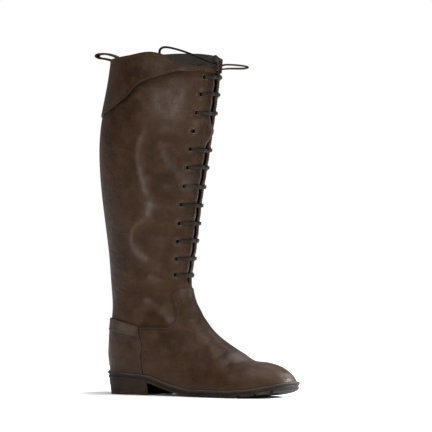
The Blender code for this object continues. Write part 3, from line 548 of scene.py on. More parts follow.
def even_section(index, side):
    """A half section evenly spaced along itself, but closer in front where it wraps round the heel."""
    points, arc = half_section(index, side)
    share = np.linspace(0, 1, FINE)
    if HEEL_ROW < index < CALF_ROW:
        fade = min(1.0, (CALF_ROW - index) / (CALF_ROW - ANKLE_ROW))
        wrap = (1 - half_section(HEEL_ROW, side)[1][-1] / arc[-1]) * fade
        share = share * (1 - wrap) + wrap * share ** 4
    return np.stack([np.interp(share * arc[-1], arc, points[:, k]) for k in range(3)], 1)


def spline_bends(knots):
    """Matrix that gives a natural cubic spline's second derivatives from its points."""
    count = len(knots)
    h = np.diff(knots)
    left = np.eye(count)
    right = np.zeros((count, count))
    for i in range(1, count - 1):
        left[i, i - 1:i + 2] = h[i - 1], 2 * (h[i - 1] + h[i]), h[i]
        right[i, i - 1:i + 2] = 6 / h[i - 1], -6 / h[i - 1] - 6 / h[i], 6 / h[i]
    return np.linalg.solve(left, right)


ROWS = len(FOOT) + len(SHAFT)
SECTIONS = {side: np.stack([even_section(i, side) for i in range(ROWS)]) for side in (-1, 1)}
STEPS = [np.linalg.norm(np.diff(SECTIONS[side], axis=0), axis=2).mean(1) for side in (-1, 1)]
KNOTS = np.concatenate([[0.0], np.cumsum(np.mean(STEPS, axis=0))])
BENDS = {side: np.einsum("ij,jkl->ikl", spline_bends(KNOTS), SECTIONS[side]) for side in (-1, 1)}


def open_skin(t, v):
    """Outer face of the upper: t runs up the boot, v from -1 on the outer side over the front to 1."""
    t, v = np.broadcast_arrays(np.asarray(t, float), np.asarray(v, float))
    points = np.empty(t.shape + (3,))
    for side, chosen in ((-1, v < 0), (1, v >= 0)):
        along = np.abs(v[chosen]) * (FINE - 1)
        j = np.clip(along.astype(int), 0, FINE - 2)
        part = (along - j)[:, None]
        i = np.clip(np.searchsorted(KNOTS, t[chosen]) - 1, 0, ROWS - 2)
        h = (KNOTS[i + 1] - KNOTS[i])[:, None]
        b = (t[chosen] - KNOTS[i])[:, None] / h
        a = 1 - b

        def pick(rows, k):
            return rows[k, j] * (1 - part) + rows[k, j + 1] * part

        line = a * pick(SECTIONS[side], i) + b * pick(SECTIONS[side], i + 1)
        curve = (a ** 3 - a) * pick(BENDS[side], i) + (b ** 3 - b) * pick(BENDS[side], i + 1)
        points[chosen] = line + curve * h * h / 6
    return points


def skin(t, v):
    """Outer face of the upper, with both halves drawn together close to the back seam."""
    points = open_skin(t, v)
    t, v = np.broadcast_arrays(np.asarray(t, float), np.asarray(v, float))
    near = np.clip((np.abs(v) - 0.94) / 0.06, 0, 1)
    apart = open_skin(t, np.where(v < 0, -1.0, 1.0))[..., 1] * (t >= KNOTS[FIRST_CLOSED_ROW])
    points[..., 1] -= apart * near * near * (3 - 2 * near)
    return points


def skin_slopes(t, v, dt, dv):
    """Change of the skin over a step each way along t and along v."""
    by_t = skin(np.clip(t + dt, 0, KNOTS[-1]), v) - skin(np.clip(t - dt, 0, KNOTS[-1]), v)
    return by_t, skin(t, np.clip(v + dv, -1, 1)) - skin(t, np.clip(v - dv, -1, 1))


def skin_normal(t, v):
    """Outward direction of the upper's outer face."""
    t, v = np.broadcast_arrays(np.asarray(t, float), np.asarray(v, float))
    up, across = skin_slopes(t, v, 0.4, 0.004)
    normal = np.cross(across, up)
    normal[(np.abs(v) == 1) & (t >= KNOTS[FIRST_CLOSED_ROW]), 1] = 0.0
    return normal / np.linalg.norm(normal, axis=-1, keepdims=True)


def offset_skin(t, v, distance):
    return skin(t, v) + skin_normal(t, v) * np.asarray(distance, float)[..., None]


def height_to_t(z, v):
    """The t at which the upper reaches height z on the line v, above the throat."""
    low, high = (np.full(np.shape(z), KNOTS[row]) for row in (THROAT_ROW, -1))
    return halved(low, high, lambda t: skin(t, v)[..., 2] < z, 40)[0]


def share_at(t, side, distance, start=0.0):
    """The v that lies a distance along the row t from the front, or from the back where start is 1."""
    v = np.linspace(start, 0.5, 200)
    arc = arc_length(skin(np.full(len(v), float(t)), side * v))
    return side * np.interp(distance, arc, v)


def collar_t(v):
    """Top edge of the upper on the line v."""
    outer = table_value(COLLAR, COLLAR_COLUMNS, np.abs(v), "outer")
    inner = table_value(COLLAR, COLLAR_COLUMNS, np.abs(v), "inner")
    return height_to_t(np.where(np.asarray(v) < 0, outer, inner), v)


def curve_through(points, steps=5):
    """Smooth open curve through given points, with steps to each stretch."""
    points = np.array(points, float)
    ends = np.concatenate([[2 * points[0] - points[1]], points, [2 * points[-1] - points[-2]]])
    curve = []
    for p0, p1, p2, p3 in zip(ends[:-3], ends[1:-2], ends[2:-1], ends[3:]):
        for a in np.arange(steps) / steps:
            bend = (2 * p0 - 5 * p1 + 4 * p2 - p3) * a * a + (3 * p1 - p0 - 3 * p2 + p3) * a ** 3
            curve.append((2 * p1 + (p2 - p0) * a + bend) / 2)
    curve.append(points[-1])
    return np.array(curve)


def place(points):
    """Last coordinates in millimetres as metres in the row frame."""
    return (np.asarray(points, float) - (HEEL_CENTRE, 0.0, 0.0)) * MM


def mesh_points(mesh):
    """Points of a mesh in last coordinates."""
    flat = np.empty(3 * len(mesh.vertices))
    mesh.vertices.foreach_get("co", flat)
    return flat.reshape(-1, 3) / MM + (HEEL_CENTRE, 0.0, 0.0)


def unit(vectors):
    vectors = np.asarray(vectors, float)
    return vectors / np.linalg.norm(vectors, axis=-1, keepdims=True)


def route_distance(points, route):
    """Distance of points from a route seen from the side, and how far along it each lies, 0 to 1."""
    flat = points[..., [0, 2]]
    arc = arc_length(route)
    best = np.full(flat.shape[:-1], 1e9)
    along = np.zeros(flat.shape[:-1])
    for k, (a, b) in enumerate(zip(route[:-1], route[1:])):
        run = b - a
        share = np.clip(((flat - a) @ run) / (run @ run), 0, 1)
        away = np.linalg.norm(flat - a - share[..., None] * run, axis=-1)
        nearer = away < best
        best = np.where(nearer, away, best)
        along = np.where(nearer, (arc[k] + share * (arc[k + 1] - arc[k])) / arc[-1], along)
    return best, along


def eyelet_creases():
    """Short creases that run back from the eyelets, drawn at random, with painted shade in the sunken ones and
    a painted highlight on the raised ones.
    """
    rng = np.random.default_rng(11)
    front_z, front_x = (column(SHAFT, SHAFT_COLUMNS, name) for name in ("front_z", "front_x"))
    creases = []
    for side in (-1, 1):
        for height, _ in EYELETS:
            front = float(np.interp(height, front_z, front_x))
            for _ in range(CREASES_PER_EYELET):
                start = np.array([front - rng.uniform(20, 30), height + rng.uniform(-9, 9)])
                run = np.array([-rng.uniform(10, 26), rng.uniform(-5, 7)])
                middle = start + run * 0.5 + (0.0, rng.uniform(-2, 2))
                relief = rng.choice((-0.45, 0.45))
                route = (tuple(start), tuple(middle), tuple(start + run))
                creases.append((side, relief, 0.45 * relief, rng.uniform(1.8, 3.0), route))
    return tuple(creases)


# All strokes: their relief, and their painted sheen and shade
ALL_STROKES = STROKES + eyelet_creases()


def strokes_at(points, name):
    """Sum of the strokes' relief, or of their painted sheen and shade, over points of the skin."""
    total = np.zeros(points.shape[:-1])
    across = points[..., 1] - centre_line(points[..., 0])
    for stroke in ALL_STROKES:
        row = dict(zip(STROKE_COLUMNS, stroke))
        if row[name] == 0:
            continue
        width = row["width"]
        away, along = route_distance(points, curve_through(row["route"], 4))
        ends = np.clip(END_FADE + along / END_FADE, 0, 1) * np.clip(END_FADE + (1 - along) / END_FADE, 0, 1)
        seen = 1.0 if row["side"] == 0 else np.clip(row["side"] * across / SIDE_FADE, 0, 1)
        profile = STROKE_CORE * np.exp(-(away / width) ** 2)
        profile += STROKE_HALO * np.exp(-(away / width / HALO_WIDTH) ** 2)
        waver = 1 - WAVER + WAVER * np.sin(8.0 * along + 40.0 * width)
        total += row[name] * profile * ends * seen * waver
    return total


def dressed_skin(t, v, lift):
    """Skin of the upper with its creases, and a lift off it."""
    base = skin(t, v)
    height = strokes_at(base, "relief") + lift
    return base + skin_normal(t, v) * height[..., None]


def mesh_from(shape, name):
    """Mesh of a finished bmesh, which is freed."""
    mesh = bpy.data.meshes.new(name)
    shape.to_mesh(mesh)
    shape.free()
    return mesh


def grid_faces(rows, columns, ring, capped, open_column=None):
    """Faces between the points of a grid, round each row where it is a ring."""
    faces = []
    for i in range(rows - 1):
        for j in range(columns if ring else columns - 1):
            if j != open_column:
                k = (j + 1) % columns
                faces.append((i * columns + j, i * columns + k, (i + 1) * columns + k, (i + 1) * columns + j))
    if capped:
        faces.append(tuple(range(columns))[::-1])
        faces.append(tuple(range((rows - 1) * columns, rows * columns)))
    return faces


def faces_mesh(name, points, faces):
    """Mesh of points in last coordinates."""
    mesh = bpy.data.meshes.new(name)
    mesh.from_pydata(place(points.reshape(-1, 3)).tolist(), [], faces)
    return mesh


def grid_mesh(name, points, ring=False, capped=False, open_column=None):
    """Mesh of a grid of points in last coordinates, with meeting points merged."""
    mesh = faces_mesh(name, points, grid_faces(*points.shape[:2], ring, capped, open_column))
    shape = bmesh.new()
    shape.from_mesh(mesh)
    bmesh.ops.remove_doubles(shape, verts=shape.verts, dist=MERGE)
    if ring:
        bmesh.ops.recalc_face_normals(shape, faces=shape.faces)
    shape.to_mesh(mesh)
    shape.free()
    return mesh


def add_object(name, data):
    """New object in the scene."""
    obj = bpy.data.objects.new(name, data)
    bpy.context.scene.collection.objects.link(obj)
    return obj


def add_piece(name, mesh, *materials):
    """New piece in the scene, with its materials."""
    for material in materials:
        mesh.materials.append(material)
    return add_object(name, mesh)


def apply_modifiers(obj):
    graph = bpy.context.evaluated_depsgraph_get()
    mesh = bpy.data.meshes.new_from_object(obj.evaluated_get(graph))
    obj.modifiers.clear()
    obj.data = mesh


def settle(obj, slot, *nodes):
    """Sets a finished piece on the boot, in place of its solids."""
    apply_modifiers(obj)
    obj.data.shade_smooth()
    obj.data.set_sharp_from_angle(angle=math.radians(SHARP_ANGLE))
    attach(obj, "root")
    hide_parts(*nodes)
    return obj


def thicken(obj, thickness, outward, inner_material=0, rim_material=0):
    solidify = obj.modifiers.new("leather", "SOLIDIFY")
    solidify.thickness = thickness * MM
    solidify.offset = 1.0 if outward else -1.0
    solidify.material_offset = inner_material
    solidify.material_offset_rim = rim_material


def cut(obj, mesh, operation):
    """Boolean with a shape that is gone afterwards."""
    cutter = add_object("cutter", mesh)
    boolean = obj.modifiers.new("cut", "BOOLEAN")
    boolean.operation = operation
    boolean.solver = "MANIFOLD"
    boolean.object = cutter
    apply_modifiers(obj)
    bpy.data.objects.remove(cutter, do_unlink=True)


def nearest(points, spots):
    """Distance of each point from the nearest of some spots."""
    tree = KDTree(len(spots))
    for index, spot in enumerate(spots):
        tree.insert(spot, index)
    tree.balance()
    return np.array([tree.find(point)[2] for point in points])


def set_shade(obj, shade):
    """Keeps the shade of a piece's points, its painted light and shade, for its material."""
    layer = obj.data.attributes.new("shade", "FLOAT", "POINT")
    layer.data.foreach_set("value", shade.astype(np.float32))


def paint(obj, seams=(), lines=()):
    """Painted light and shade of the leather: the strokes' sheen and shade, painted shade along the seams, and
    lighter or darker lines at a distance from some spots.
    """
    points = mesh_points(obj.data)
    shade = strokes_at(points, "shade")
    for route, depth, width in seams:
        shade -= depth * np.exp(-(route_distance(points, route)[0] / width) ** 2)
    for spots, distance, strength, width in lines:
        shade += strength * np.exp(-((nearest(points, spots) - distance) / width) ** 2)
    set_shade(obj, shade)


# ---- materials ----

class Nodes:
    """Short way to lay out a material's nodes."""

    def __init__(self, name):
        self.material = bpy.data.materials.new(name)
        self.material.use_nodes = True
        self.tree = self.material.node_tree
        self.shader = self.tree.nodes["Principled BSDF"]
        self.where = self.add("TexCoord").outputs["Object"]

    def add(self, kind, **values):
        """New node, with constant values on its named inputs."""
        node = self.tree.nodes.new("ShaderNode" + kind)
        for name, value in values.items():
            node.inputs[name.replace("_", " ")].default_value = value
        return node

    def link(self, source, target):
        """Feeds a socket from another, or sets it to a constant."""
        if hasattr(source, "is_linked"):
            self.tree.links.new(source, target)
        else:
            target.default_value = source

    def noise(self, scale, detail=3.0, rough=0.5, distortion=0.0, stretch=None):
        node = self.add("TexNoise", Scale=scale, Detail=detail, Roughness=rough, Distortion=distortion)
        where = self.where
        if stretch:
            mapping = self.add("Mapping", Scale=stretch)
            self.link(where, mapping.inputs["Vector"])
            where = mapping.outputs["Vector"]
        self.link(where, node.inputs["Vector"])
        return node.outputs["Fac"]

    def cells(self, scale):
        node = self.add("TexVoronoi", Scale=scale)
        self.link(self.where, node.inputs["Vector"])
        return node.outputs["Distance"]

    def attribute(self, name):
        node = self.add("Attribute")
        node.attribute_name = name
        return node.outputs["Fac"]

    def math(self, operation, a, b=0.0, clamp=False):
        node = self.add("Math")
        node.operation = operation
        node.use_clamp = clamp
        self.link(a, node.inputs[0])
        self.link(b, node.inputs[1])
        return node.outputs[0]

    def scaled(self, source, low, high, new_low=0.0, new_high=1.0):
        node = self.add("MapRange", From_Min=low, From_Max=high, To_Min=new_low, To_Max=new_high)
        self.link(source, node.inputs["Value"])
        return node.outputs["Result"]

    def mix(self, factor, a, b):
        node = self.add("Mix")
        node.data_type = "RGBA"
        self.link(factor, node.inputs[0])
        for value, socket in ((a, node.inputs[6]), (b, node.inputs[7])):
            self.link(value if hasattr(value, "is_linked") else (*value, 1.0), socket)
        return node.outputs[2]

    def bump(self, height, distance, strength=1.0, under=None):
        node = self.add("Bump", Distance=distance, Strength=strength)
        self.link(height, node.inputs["Height"])
        if under:
            self.link(under, node.inputs["Normal"])
        return node.outputs["Normal"]

    def finish(self, colour, roughness, normal, **constants):
        for name, source in (("Base Color", colour), ("Roughness", roughness), ("Normal", normal)):
            self.link(source, self.shader.inputs[name])
        for name, value in constants.items():
            self.shader.inputs[name.replace("_", " ")].default_value = value
        return self.material


def leather(name, dark, base, light, roughness=0.40, coat=0.0, worn=True):
    """Waxed leather: cloudy colour, fine pores, and from the shade attribute a grey bloom of painted sheen with
    some wear, and painted shade.
    """
    n = Nodes(name)
    cloud = n.noise(16.0, 4.0, 0.6, 0.6)
    patch = n.noise(75.0, 3.0, 0.6)
    speck = n.noise(420.0, 2.0, 0.6)
    colour = n.mix(n.scaled(cloud, 0.36, 0.62), dark, base)
    colour = n.mix(n.scaled(patch, 0.46, 0.72, 0.0, 0.55), colour, light)
    colour = n.mix(n.scaled(speck, 0.5, 0.8, 0.0, 0.45), colour, dark)
    rough = n.scaled(patch, 0.3, 0.7, roughness - 0.07, roughness + 0.09)
    # Where worn is set, the shade attribute paints light and shade: above 0 a grey bloom of painted sheen with
    # some wear, below 0 painted shade
    if worn:
        tear = n.scaled(n.noise(70.0, 8.0, 0.72, 0.4), 0.34, 0.62, 0.30, 1.35)
        ragged = n.math("MULTIPLY", n.attribute("shade"), tear)
        sheen_and_wear = n.math("MAXIMUM", ragged, 0.0, clamp=True)
        shadow = n.math("MULTIPLY", ragged, -0.9, clamp=True)
        grey = [0.6 * c + 0.050 for c in light]
        colour = n.mix(n.math("MULTIPLY", sheen_and_wear, 0.85), colour, grey)
        colour = n.mix(shadow, colour, [0.5 * c for c in dark])
        rough = n.math("ADD", rough, n.math("MULTIPLY", sheen_and_wear, 0.10))
    waves = n.noise(42.0, 3.0, 0.55, 0.8, (1.0, 1.0, 1.9))
    folds = n.noise(130.0, 4.0, 0.6, 1.2, (1.0, 1.0, 0.45))
    normal = n.bump(waves, 0.0030, 0.30)
    normal = n.bump(folds, 0.0011, 0.45, normal)
    normal = n.bump(n.noise(700.0, 3.0, 0.65), 0.0004, 0.40, normal)
    normal = n.bump(n.cells(1500.0), 0.00025, 0.35, normal)
    return n.finish(colour, rough, normal, Coat_Weight=coat, Coat_Roughness=0.25, Specular_IOR_Level=0.20,
                    Specular_Tint=(1.0, 0.80, 0.64, 1.0))


def fabric_lining(name):
    """Grey-brown textile that lines the shaft."""
    n = Nodes(name)
    warp, weft = (n.noise(1200.0, 1.0, 0.5, 0.0, stretch) for stretch in ((1.0, 1.0, 0.25), (0.25, 0.25, 1.0)))
    weave = n.math("ADD", warp, weft)
    colour = n.mix(n.scaled(weave, 0.7, 1.3), (0.020, 0.0155, 0.0120), (0.046, 0.037, 0.030))
    colour = n.mix(n.scaled(n.noise(40.0), 0.4, 0.7, 0.0, 0.4), colour, (0.022, 0.018, 0.015))
    rough = n.scaled(weave, 0.7, 1.3, 0.8, 0.95)
    return n.finish(colour, rough, n.bump(weave, 0.0004, 0.6), Sheen_Weight=0.15)


def rubber(name, dark, base, dust):
    """Moulded rubber, dusty and scuffed."""
    n = Nodes(name)
    cloud = n.noise(28.0, 4.0, 0.6)
    scuff = n.noise(90.0, 5.0, 0.7, 1.0, (0.5, 0.5, 2.2))
    colour = n.mix(n.scaled(cloud, 0.35, 0.65), dark, base)
    colour = n.mix(n.scaled(scuff, 0.52, 0.72, 0.0, 0.7), colour, dust)
    rough = n.scaled(scuff, 0.3, 0.7, 0.5, 0.75)
    normal = n.bump(n.noise(600.0, 3.0, 0.6), 0.0004, 0.4)
    return n.finish(colour, rough, n.bump(scuff, 0.0005, 0.3, normal), Specular_IOR_Level=0.18)


def brass(name):
    """Darkened brass with brighter rubbed spots."""
    n = Nodes(name)
    tarnish = n.noise(260.0, 4.0, 0.65)
    colour = n.mix(n.scaled(tarnish, 0.35, 0.7), (0.036, 0.024, 0.016), (0.115, 0.080, 0.052))
    rough = n.scaled(tarnish, 0.3, 0.7, 0.52, 0.32)
    return n.finish(colour, rough, n.bump(n.noise(900.0), 0.00015, 0.4), Metallic=0.9)


def thread(name, dark, light):
    """Waxed twisted thread."""
    n = Nodes(name)
    twist = n.noise(2600.0, 1.0)
    colour = n.mix(n.scaled(twist, 0.35, 0.65), dark, light)
    return n.finish(colour, n.scaled(twist, 0.3, 0.7, 0.5, 0.7), n.bump(twist, 0.0002, 0.5))


def paper(name):
    """Pale sweep that glows, but not close around the boot, where the glow fades out as a painted contact
    shadow.
    """
    n = Nodes(name)
    tooth = n.noise(300.0, 2.0)
    colour = n.mix(tooth, (0.86, 0.86, 0.86), (0.88, 0.88, 0.88))
    apart = n.add("SeparateXYZ")
    n.link(n.where, apart.inputs["Vector"])
    x, y = apart.outputs["X"], apart.outputs["Y"]
    # The glow fades out near the footprint: a painted contact shadow round the boot
    past = n.math("MAXIMUM", n.math("SUBTRACT", FOOTPRINT[0], x), n.math("SUBTRACT", x, FOOTPRINT[1]))
    past = n.math("MAXIMUM", past, 0.0)
    away = n.math("POWER", n.math("ADD", n.math("MULTIPLY", past, past), n.math("MULTIPLY", y, y)), 0.5)
    n.link(n.scaled(away, *SHADOW_REACH, 0.0, FLOOR_GLOW), n.shader.inputs["Emission Strength"])
    return n.finish(colour, n.scaled(tooth, 0.0, 1.0, 0.8, 0.9), n.bump(tooth, 0.0001, 0.2),
                    Emission_Color=(1.0, 1.0, 1.0, 1.0))


BROWN = leather(
    "brown_leather", (0.0140, 0.0053, 0.0019), (0.0295, 0.0124, 0.0052), (0.0480, 0.0235, 0.0118), coat=0.02,
)
DARK = leather(
    "dark_leather", (0.0140, 0.0052, 0.0016), (0.0290, 0.0122, 0.0046), (0.0440, 0.0208, 0.0092), coat=0.02,
)
STRAP = leather(
    "strap_leather", (0.0180, 0.0090, 0.0050), (0.0360, 0.0200, 0.0120), (0.0560, 0.0360, 0.0250), coat=0.02,
)
LACE = leather(
    "lace_leather", (0.0054, 0.0032, 0.0021), (0.0112, 0.0073, 0.0052), (0.0220, 0.0155, 0.0115), 0.50,
)
# The tongue is coloured nearly black, a painted shade for the throat and for the eyelet holes that show it
TONGUE_PAINTED_SHADE = leather(
    "tongue_leather_painted_shade", (0.0040, 0.0022, 0.0012), (0.0090, 0.0050, 0.0028), (0.0160, 0.0095, 0.0060), 0.55,
    worn=False,
)
EDGE = leather(
    "raw_edge", (0.032, 0.019, 0.011), (0.060, 0.039, 0.025), (0.090, 0.062, 0.043), 0.6, worn=False,
)
RIM = leather(
    "burnished_edge", (0.0050, 0.0026, 0.0014), (0.0110, 0.0060, 0.0034), (0.0200, 0.0120, 0.0075), 0.45,
    worn=False,
)
WELT_FINISH = leather(
    "welt_leather", (0.0140, 0.0077, 0.0045), (0.0262, 0.0156, 0.0100), (0.0520, 0.0360, 0.0262), 0.50,
)
INSOLE_FINISH = leather(
    "insole_leather", (0.060, 0.042, 0.028), (0.110, 0.080, 0.055), (0.140, 0.105, 0.075), 0.65, worn=False,
)
LINING = fabric_lining("shaft_lining")
SOLE = rubber("sole_rubber", (0.0090, 0.0057, 0.0040), (0.0195, 0.0130, 0.0094), (0.0560, 0.0420, 0.0325))
HEEL_FINISH = rubber(
    "heel_rubber", (0.0112, 0.0055, 0.0029), (0.0226, 0.0120, 0.0068), (0.0540, 0.0330, 0.0210),
)
BRASS = brass("antique_brass")
THREAD = thread("dark_thread", (0.012, 0.0070, 0.0045), (0.055, 0.038, 0.027))
PAPER = paper("pale_sweep")


# ---- camera and light ----

def set_camera():
    """The photograph's camera, level and shifted up a little."""
    data = bpy.data.cameras.new("photo_camera")
    data.lens = CAMERA_LENS
    data.sensor_width = CAMERA_SENSOR
    data.shift_y = CAMERA_SHIFT
    data.clip_end = 100.0
    camera = add_object("photo_camera", data)
    camera.location = place(CAMERA_PLACE)
    camera.rotation_euler = (math.pi / 2, 0.0, math.radians(CAMERA_AZIMUTH))
    bpy.context.scene.camera = camera


def area_light(name, spot, target, size, power, colour=(1.0, 1.0, 1.0), spread=180.0):
    data = bpy.data.lights.new(name, "AREA")
    data.shape = "RECTANGLE"
    data.size, data.size_y = size
    data.energy = power
    data.color = colour
    data.spread = math.radians(spread)
    light = add_object(name, data)
    light.location = spot
    light.rotation_euler = (Vector(target) - Vector(spot)).to_track_quat("-Z", "Y").to_euler()


def set_stage():
    """Round pale floor, a sky that is white behind the boot and dimmer as a light, and soft lamps."""
    spokes = [[(r * math.cos(turn), r * math.sin(turn), 0.0) for r in FLOOR_RADII] for turn in turns(96)]
    points = np.array(spokes + spokes[:1]) / MM + (HEEL_CENTRE, 0.0, 0.0)
    add_piece("pale_floor", grid_mesh("pale_floor", points), PAPER)
    world = bpy.data.worlds.new("studio")
    world.use_nodes = True
    tree = world.node_tree
    sky = tree.nodes["Background"]
    sky.inputs["Color"].default_value = (1.0, 1.0, 1.0, 1.0)
    rays = tree.nodes.new("ShaderNodeLightPath")
    level = tree.nodes.new("ShaderNodeMapRange")
    level.inputs["To Min"].default_value = SKY_AS_LIGHT
    level.inputs["To Max"].default_value = SKY_BEHIND
    tree.links.new(rays.outputs["Is Camera Ray"], level.inputs["Value"])
    tree.links.new(level.outputs["Result"], sky.inputs["Strength"])
    bpy.context.scene.world = world
    bpy.context.scene.view_settings.view_transform = "Standard"
    for lamp in LAMPS:
        area_light(*lamp)


# ---- lace: bow, knot and bars ----

def strip_rings(centres, across, normals, width, thickness, sides=12):
    """Flat cross-sections with rounded corners along centres."""
    angles = turns(sides)
    flat, high = (np.sign(wave) * np.abs(wave) ** 0.55 for wave in (np.cos(angles), np.sin(angles)))
    width, thickness = (np.broadcast_to(size, len(centres))[:, None, None] for size in (width, thickness))
    wide = across[:, None] * flat[None, :, None] * width / 2
    thick = normals[:, None] * high[None, :, None] * thickness / 2
    return centres[:, None] + wide + thick


def strip(name, node, rings, material):
    """Piece of closed rings, capped at both ends."""
    return add_piece(name, grid_mesh(node, rings, ring=True, capped=True), material)


def knot_end(direction):
    """First points of a loop, from just inside the knot straight out of its face."""
    direction = np.array(direction)
    radius = 1 / np.linalg.norm(2 * direction / np.array(KNOT_SIZE))
    return [np.array(KNOT_CENTRE) + direction * (radius + step) for step in KNOT_STEPS]


def build_loops():
    """Bow loops as flat lace standing on edge to the side, along the routes of their solids."""
    for name, loop in LACE_LOOPS.items():
        ends = [*knot_end(loop["leaves"]), *loop["points"], *reversed(knot_end(loop["meets"]))]
        route = curve_through(ends, steps=6)
        reach = np.array(loop["points"])[:, :2]
        far = reach[np.argmax(np.linalg.norm(reach - KNOT_CENTRE[:2], axis=1))] - KNOT_CENTRE[:2]
        across = np.tile(unit((far[1], -far[0], 0.0)), (len(route), 1))
        tangent = unit(np.gradient(route, axis=0))
        across = unit(across - tangent * np.sum(across * tangent, axis=1)[:, None])
        normal = np.cross(tangent, across)
        lean = np.radians(LOOP_LEAN) * np.sin(np.linspace(0.4, 2.8, len(route)))[:, None]
        rings = strip_rings(route, across * np.cos(lean) + normal * np.sin(lean),
                            normal * np.cos(lean) - across * np.sin(lean), LACE_WIDTH, LOOP_THICKNESS)
        piece = settle(strip("bow_" + name, name, rings, LACE), "lace_leather", name)


def build_knot():
    """Tied lace: a rounded lump with the lace's turns showing as ridges."""
    points = []
    for polar in np.linspace(0, np.pi, 40):
        row = []
        for angle in turns(48):
            flat = math.sin(polar)
            ray = np.array([flat * math.cos(angle), flat * math.sin(angle), math.cos(polar)])
            wrap = abs(math.sin(2.6 * ray[0] + 1.4 * ray[2] + 0.5)) ** 0.6
            cross = abs(math.sin(3.0 * ray[1] - 1.2 * ray[2])) ** 0.7
            scale = 0.86 + 0.14 * max(wrap * 0.9, cross if ray[2] > -0.2 else 0.0)
            row.append(np.array(KNOT_CENTRE) + ray * np.array(KNOT_SIZE) / 2 * scale)
        points.append(row)
    piece = add_piece("tied_knot", grid_mesh("tied_knot", np.array(points), ring=True), LACE)
    settle(piece, "lace_leather", "lace_knot")


def eyelet_place(row, side):
    """Row, column, point and outward direction of an eyelet on the upper."""
    v = 0.1 * side
    for _ in range(3):
        t = float(height_to_t(np.array(row["height"]), np.array(v)))
        v = float(share_at(t, side, row["from_front"]))
    return t, v, skin(np.array(t), np.array(v)), skin_normal(np.array(t), np.array(v))


EYELET_ROWS = [dict(zip(EYELET_COLUMNS, values)) for values in EYELETS]
EYELET_PLACES = [[eyelet_place(row, side) for side in (-1, 1)] for row in EYELET_ROWS]


def build_lace_bars():
    """Each bar comes up out of one eyelet, crosses the throat and goes down the other."""
    rng = np.random.default_rng(7)
    edge = facing_spots(FACING_EDGE)
    share = np.concatenate([np.linspace(-1.0, -0.8, 7), np.linspace(-0.74, 0.74, 31), np.linspace(0.8, 1.0, 7)])
    lift, width = (np.interp(np.abs(share), *table) for table in (BAR_LIFT, BAR_WIDTH))
    for number, (row, places) in enumerate(zip(EYELET_ROWS, EYELET_PLACES), 1):
        if number - 1 == SKIPPED_BAR:
            continue
        v = np.where(share < 0, -share * places[0][1], share * places[1][1])
        droop = rng.uniform(-1.6, 1.2) * (1 - share ** 2) + rng.uniform(-0.5, 0.5) * np.sin(share * 4.0)
        t = height_to_t(row["height"] + droop, v)
        normals = skin_normal(t, v)
        centres = skin(t, v) + normals * lift[:, None]
        tangent = unit(np.gradient(centres, axis=0))
        across = unit(np.cross(normals, tangent))
        rings = strip_rings(centres, across, np.cross(tangent, across), width, BAR_THICKNESS)
        name = "lace_bar_%02d" % number
        piece = strip(name + "_strip", name, rings, LACE)
        # The strokes' painted sheen and shade, and lighter where the bar bends over a facing's edge
        paint(piece, lines=[(edge, 1.0, 1.0, 2.2)])
        settle(piece, "lace_leather", name)


# ---- leather ----

def even_rows(stops, step):
    """Values that go through each stop, about a step apart."""
    values = [stops[0]]
    for a, b in zip(stops[:-1], stops[1:]):
        values += list(np.linspace(a, b, max(1, round((b - a) / step)) + 1)[1:])
    return np.array(values)


def slit_shares(rows, side):
    """Where the throat's edge lies on each row, as a share of the way to the back."""
    gaps = table_value(SLIT, SLIT_COLUMNS, skin(rows, 0.0)[:, 2], "half_gap")
    shares = [abs(share_at(t, side, gap)) for t, gap in zip(rows, gaps)]
    return np.where(rows > KNOTS[THROAT_ROW], shares, 0.0)


def leather_columns(rows, side, share):
    """v of each column on each row, from the throat's edge to the back."""
    slit = slit_shares(rows, side)[:, None]
    return side * (slit + (1 - slit) * share)


LEATHER_SHARES = np.concatenate([np.linspace(0, 0.075, 10, endpoint=False), np.linspace(0.075, 1, 66)])
UPPER_ROWS = even_rows(KNOTS[:COLLAR_BASE_ROW + 1], LEATHER_STEP)


def flare(points, side):
    """How far a facing's edge stands out: drawn in at each lace bar, turned out where there is none."""
    inward = np.linalg.norm(points - points[:, :1], axis=-1)
    height = points[..., 2]
    heights = column(EYELETS, EYELET_COLUMNS, "height")[::-1]
    between_bars = np.interp(height, heights, np.arange(len(heights)))
    laced = (height > heights[0] - LACED_MARGIN) & (height < heights[-1] + LACED_MARGIN)
    rise = -PINCH * np.cos(2 * np.pi * between_bars) * np.exp(-(inward / PINCH_REACH) ** 2) * laced
    if side < 0:
        up = (height - FLARE_HEIGHT) / FLARE_REACH[0]
        rise += FLARE_RISE * np.exp(-up ** 2 - (inward / FLARE_REACH[1]) ** 2)
    return rise


def panel(name, halves, *materials, closed_front=False):
    """Piece made of two halves of leather, which are open at the front unless told otherwise."""
    open_column = None if closed_front else halves[0].shape[1] - 1
    return add_piece(name, grid_mesh(name, np.concatenate(halves, 1), open_column=open_column), *materials)


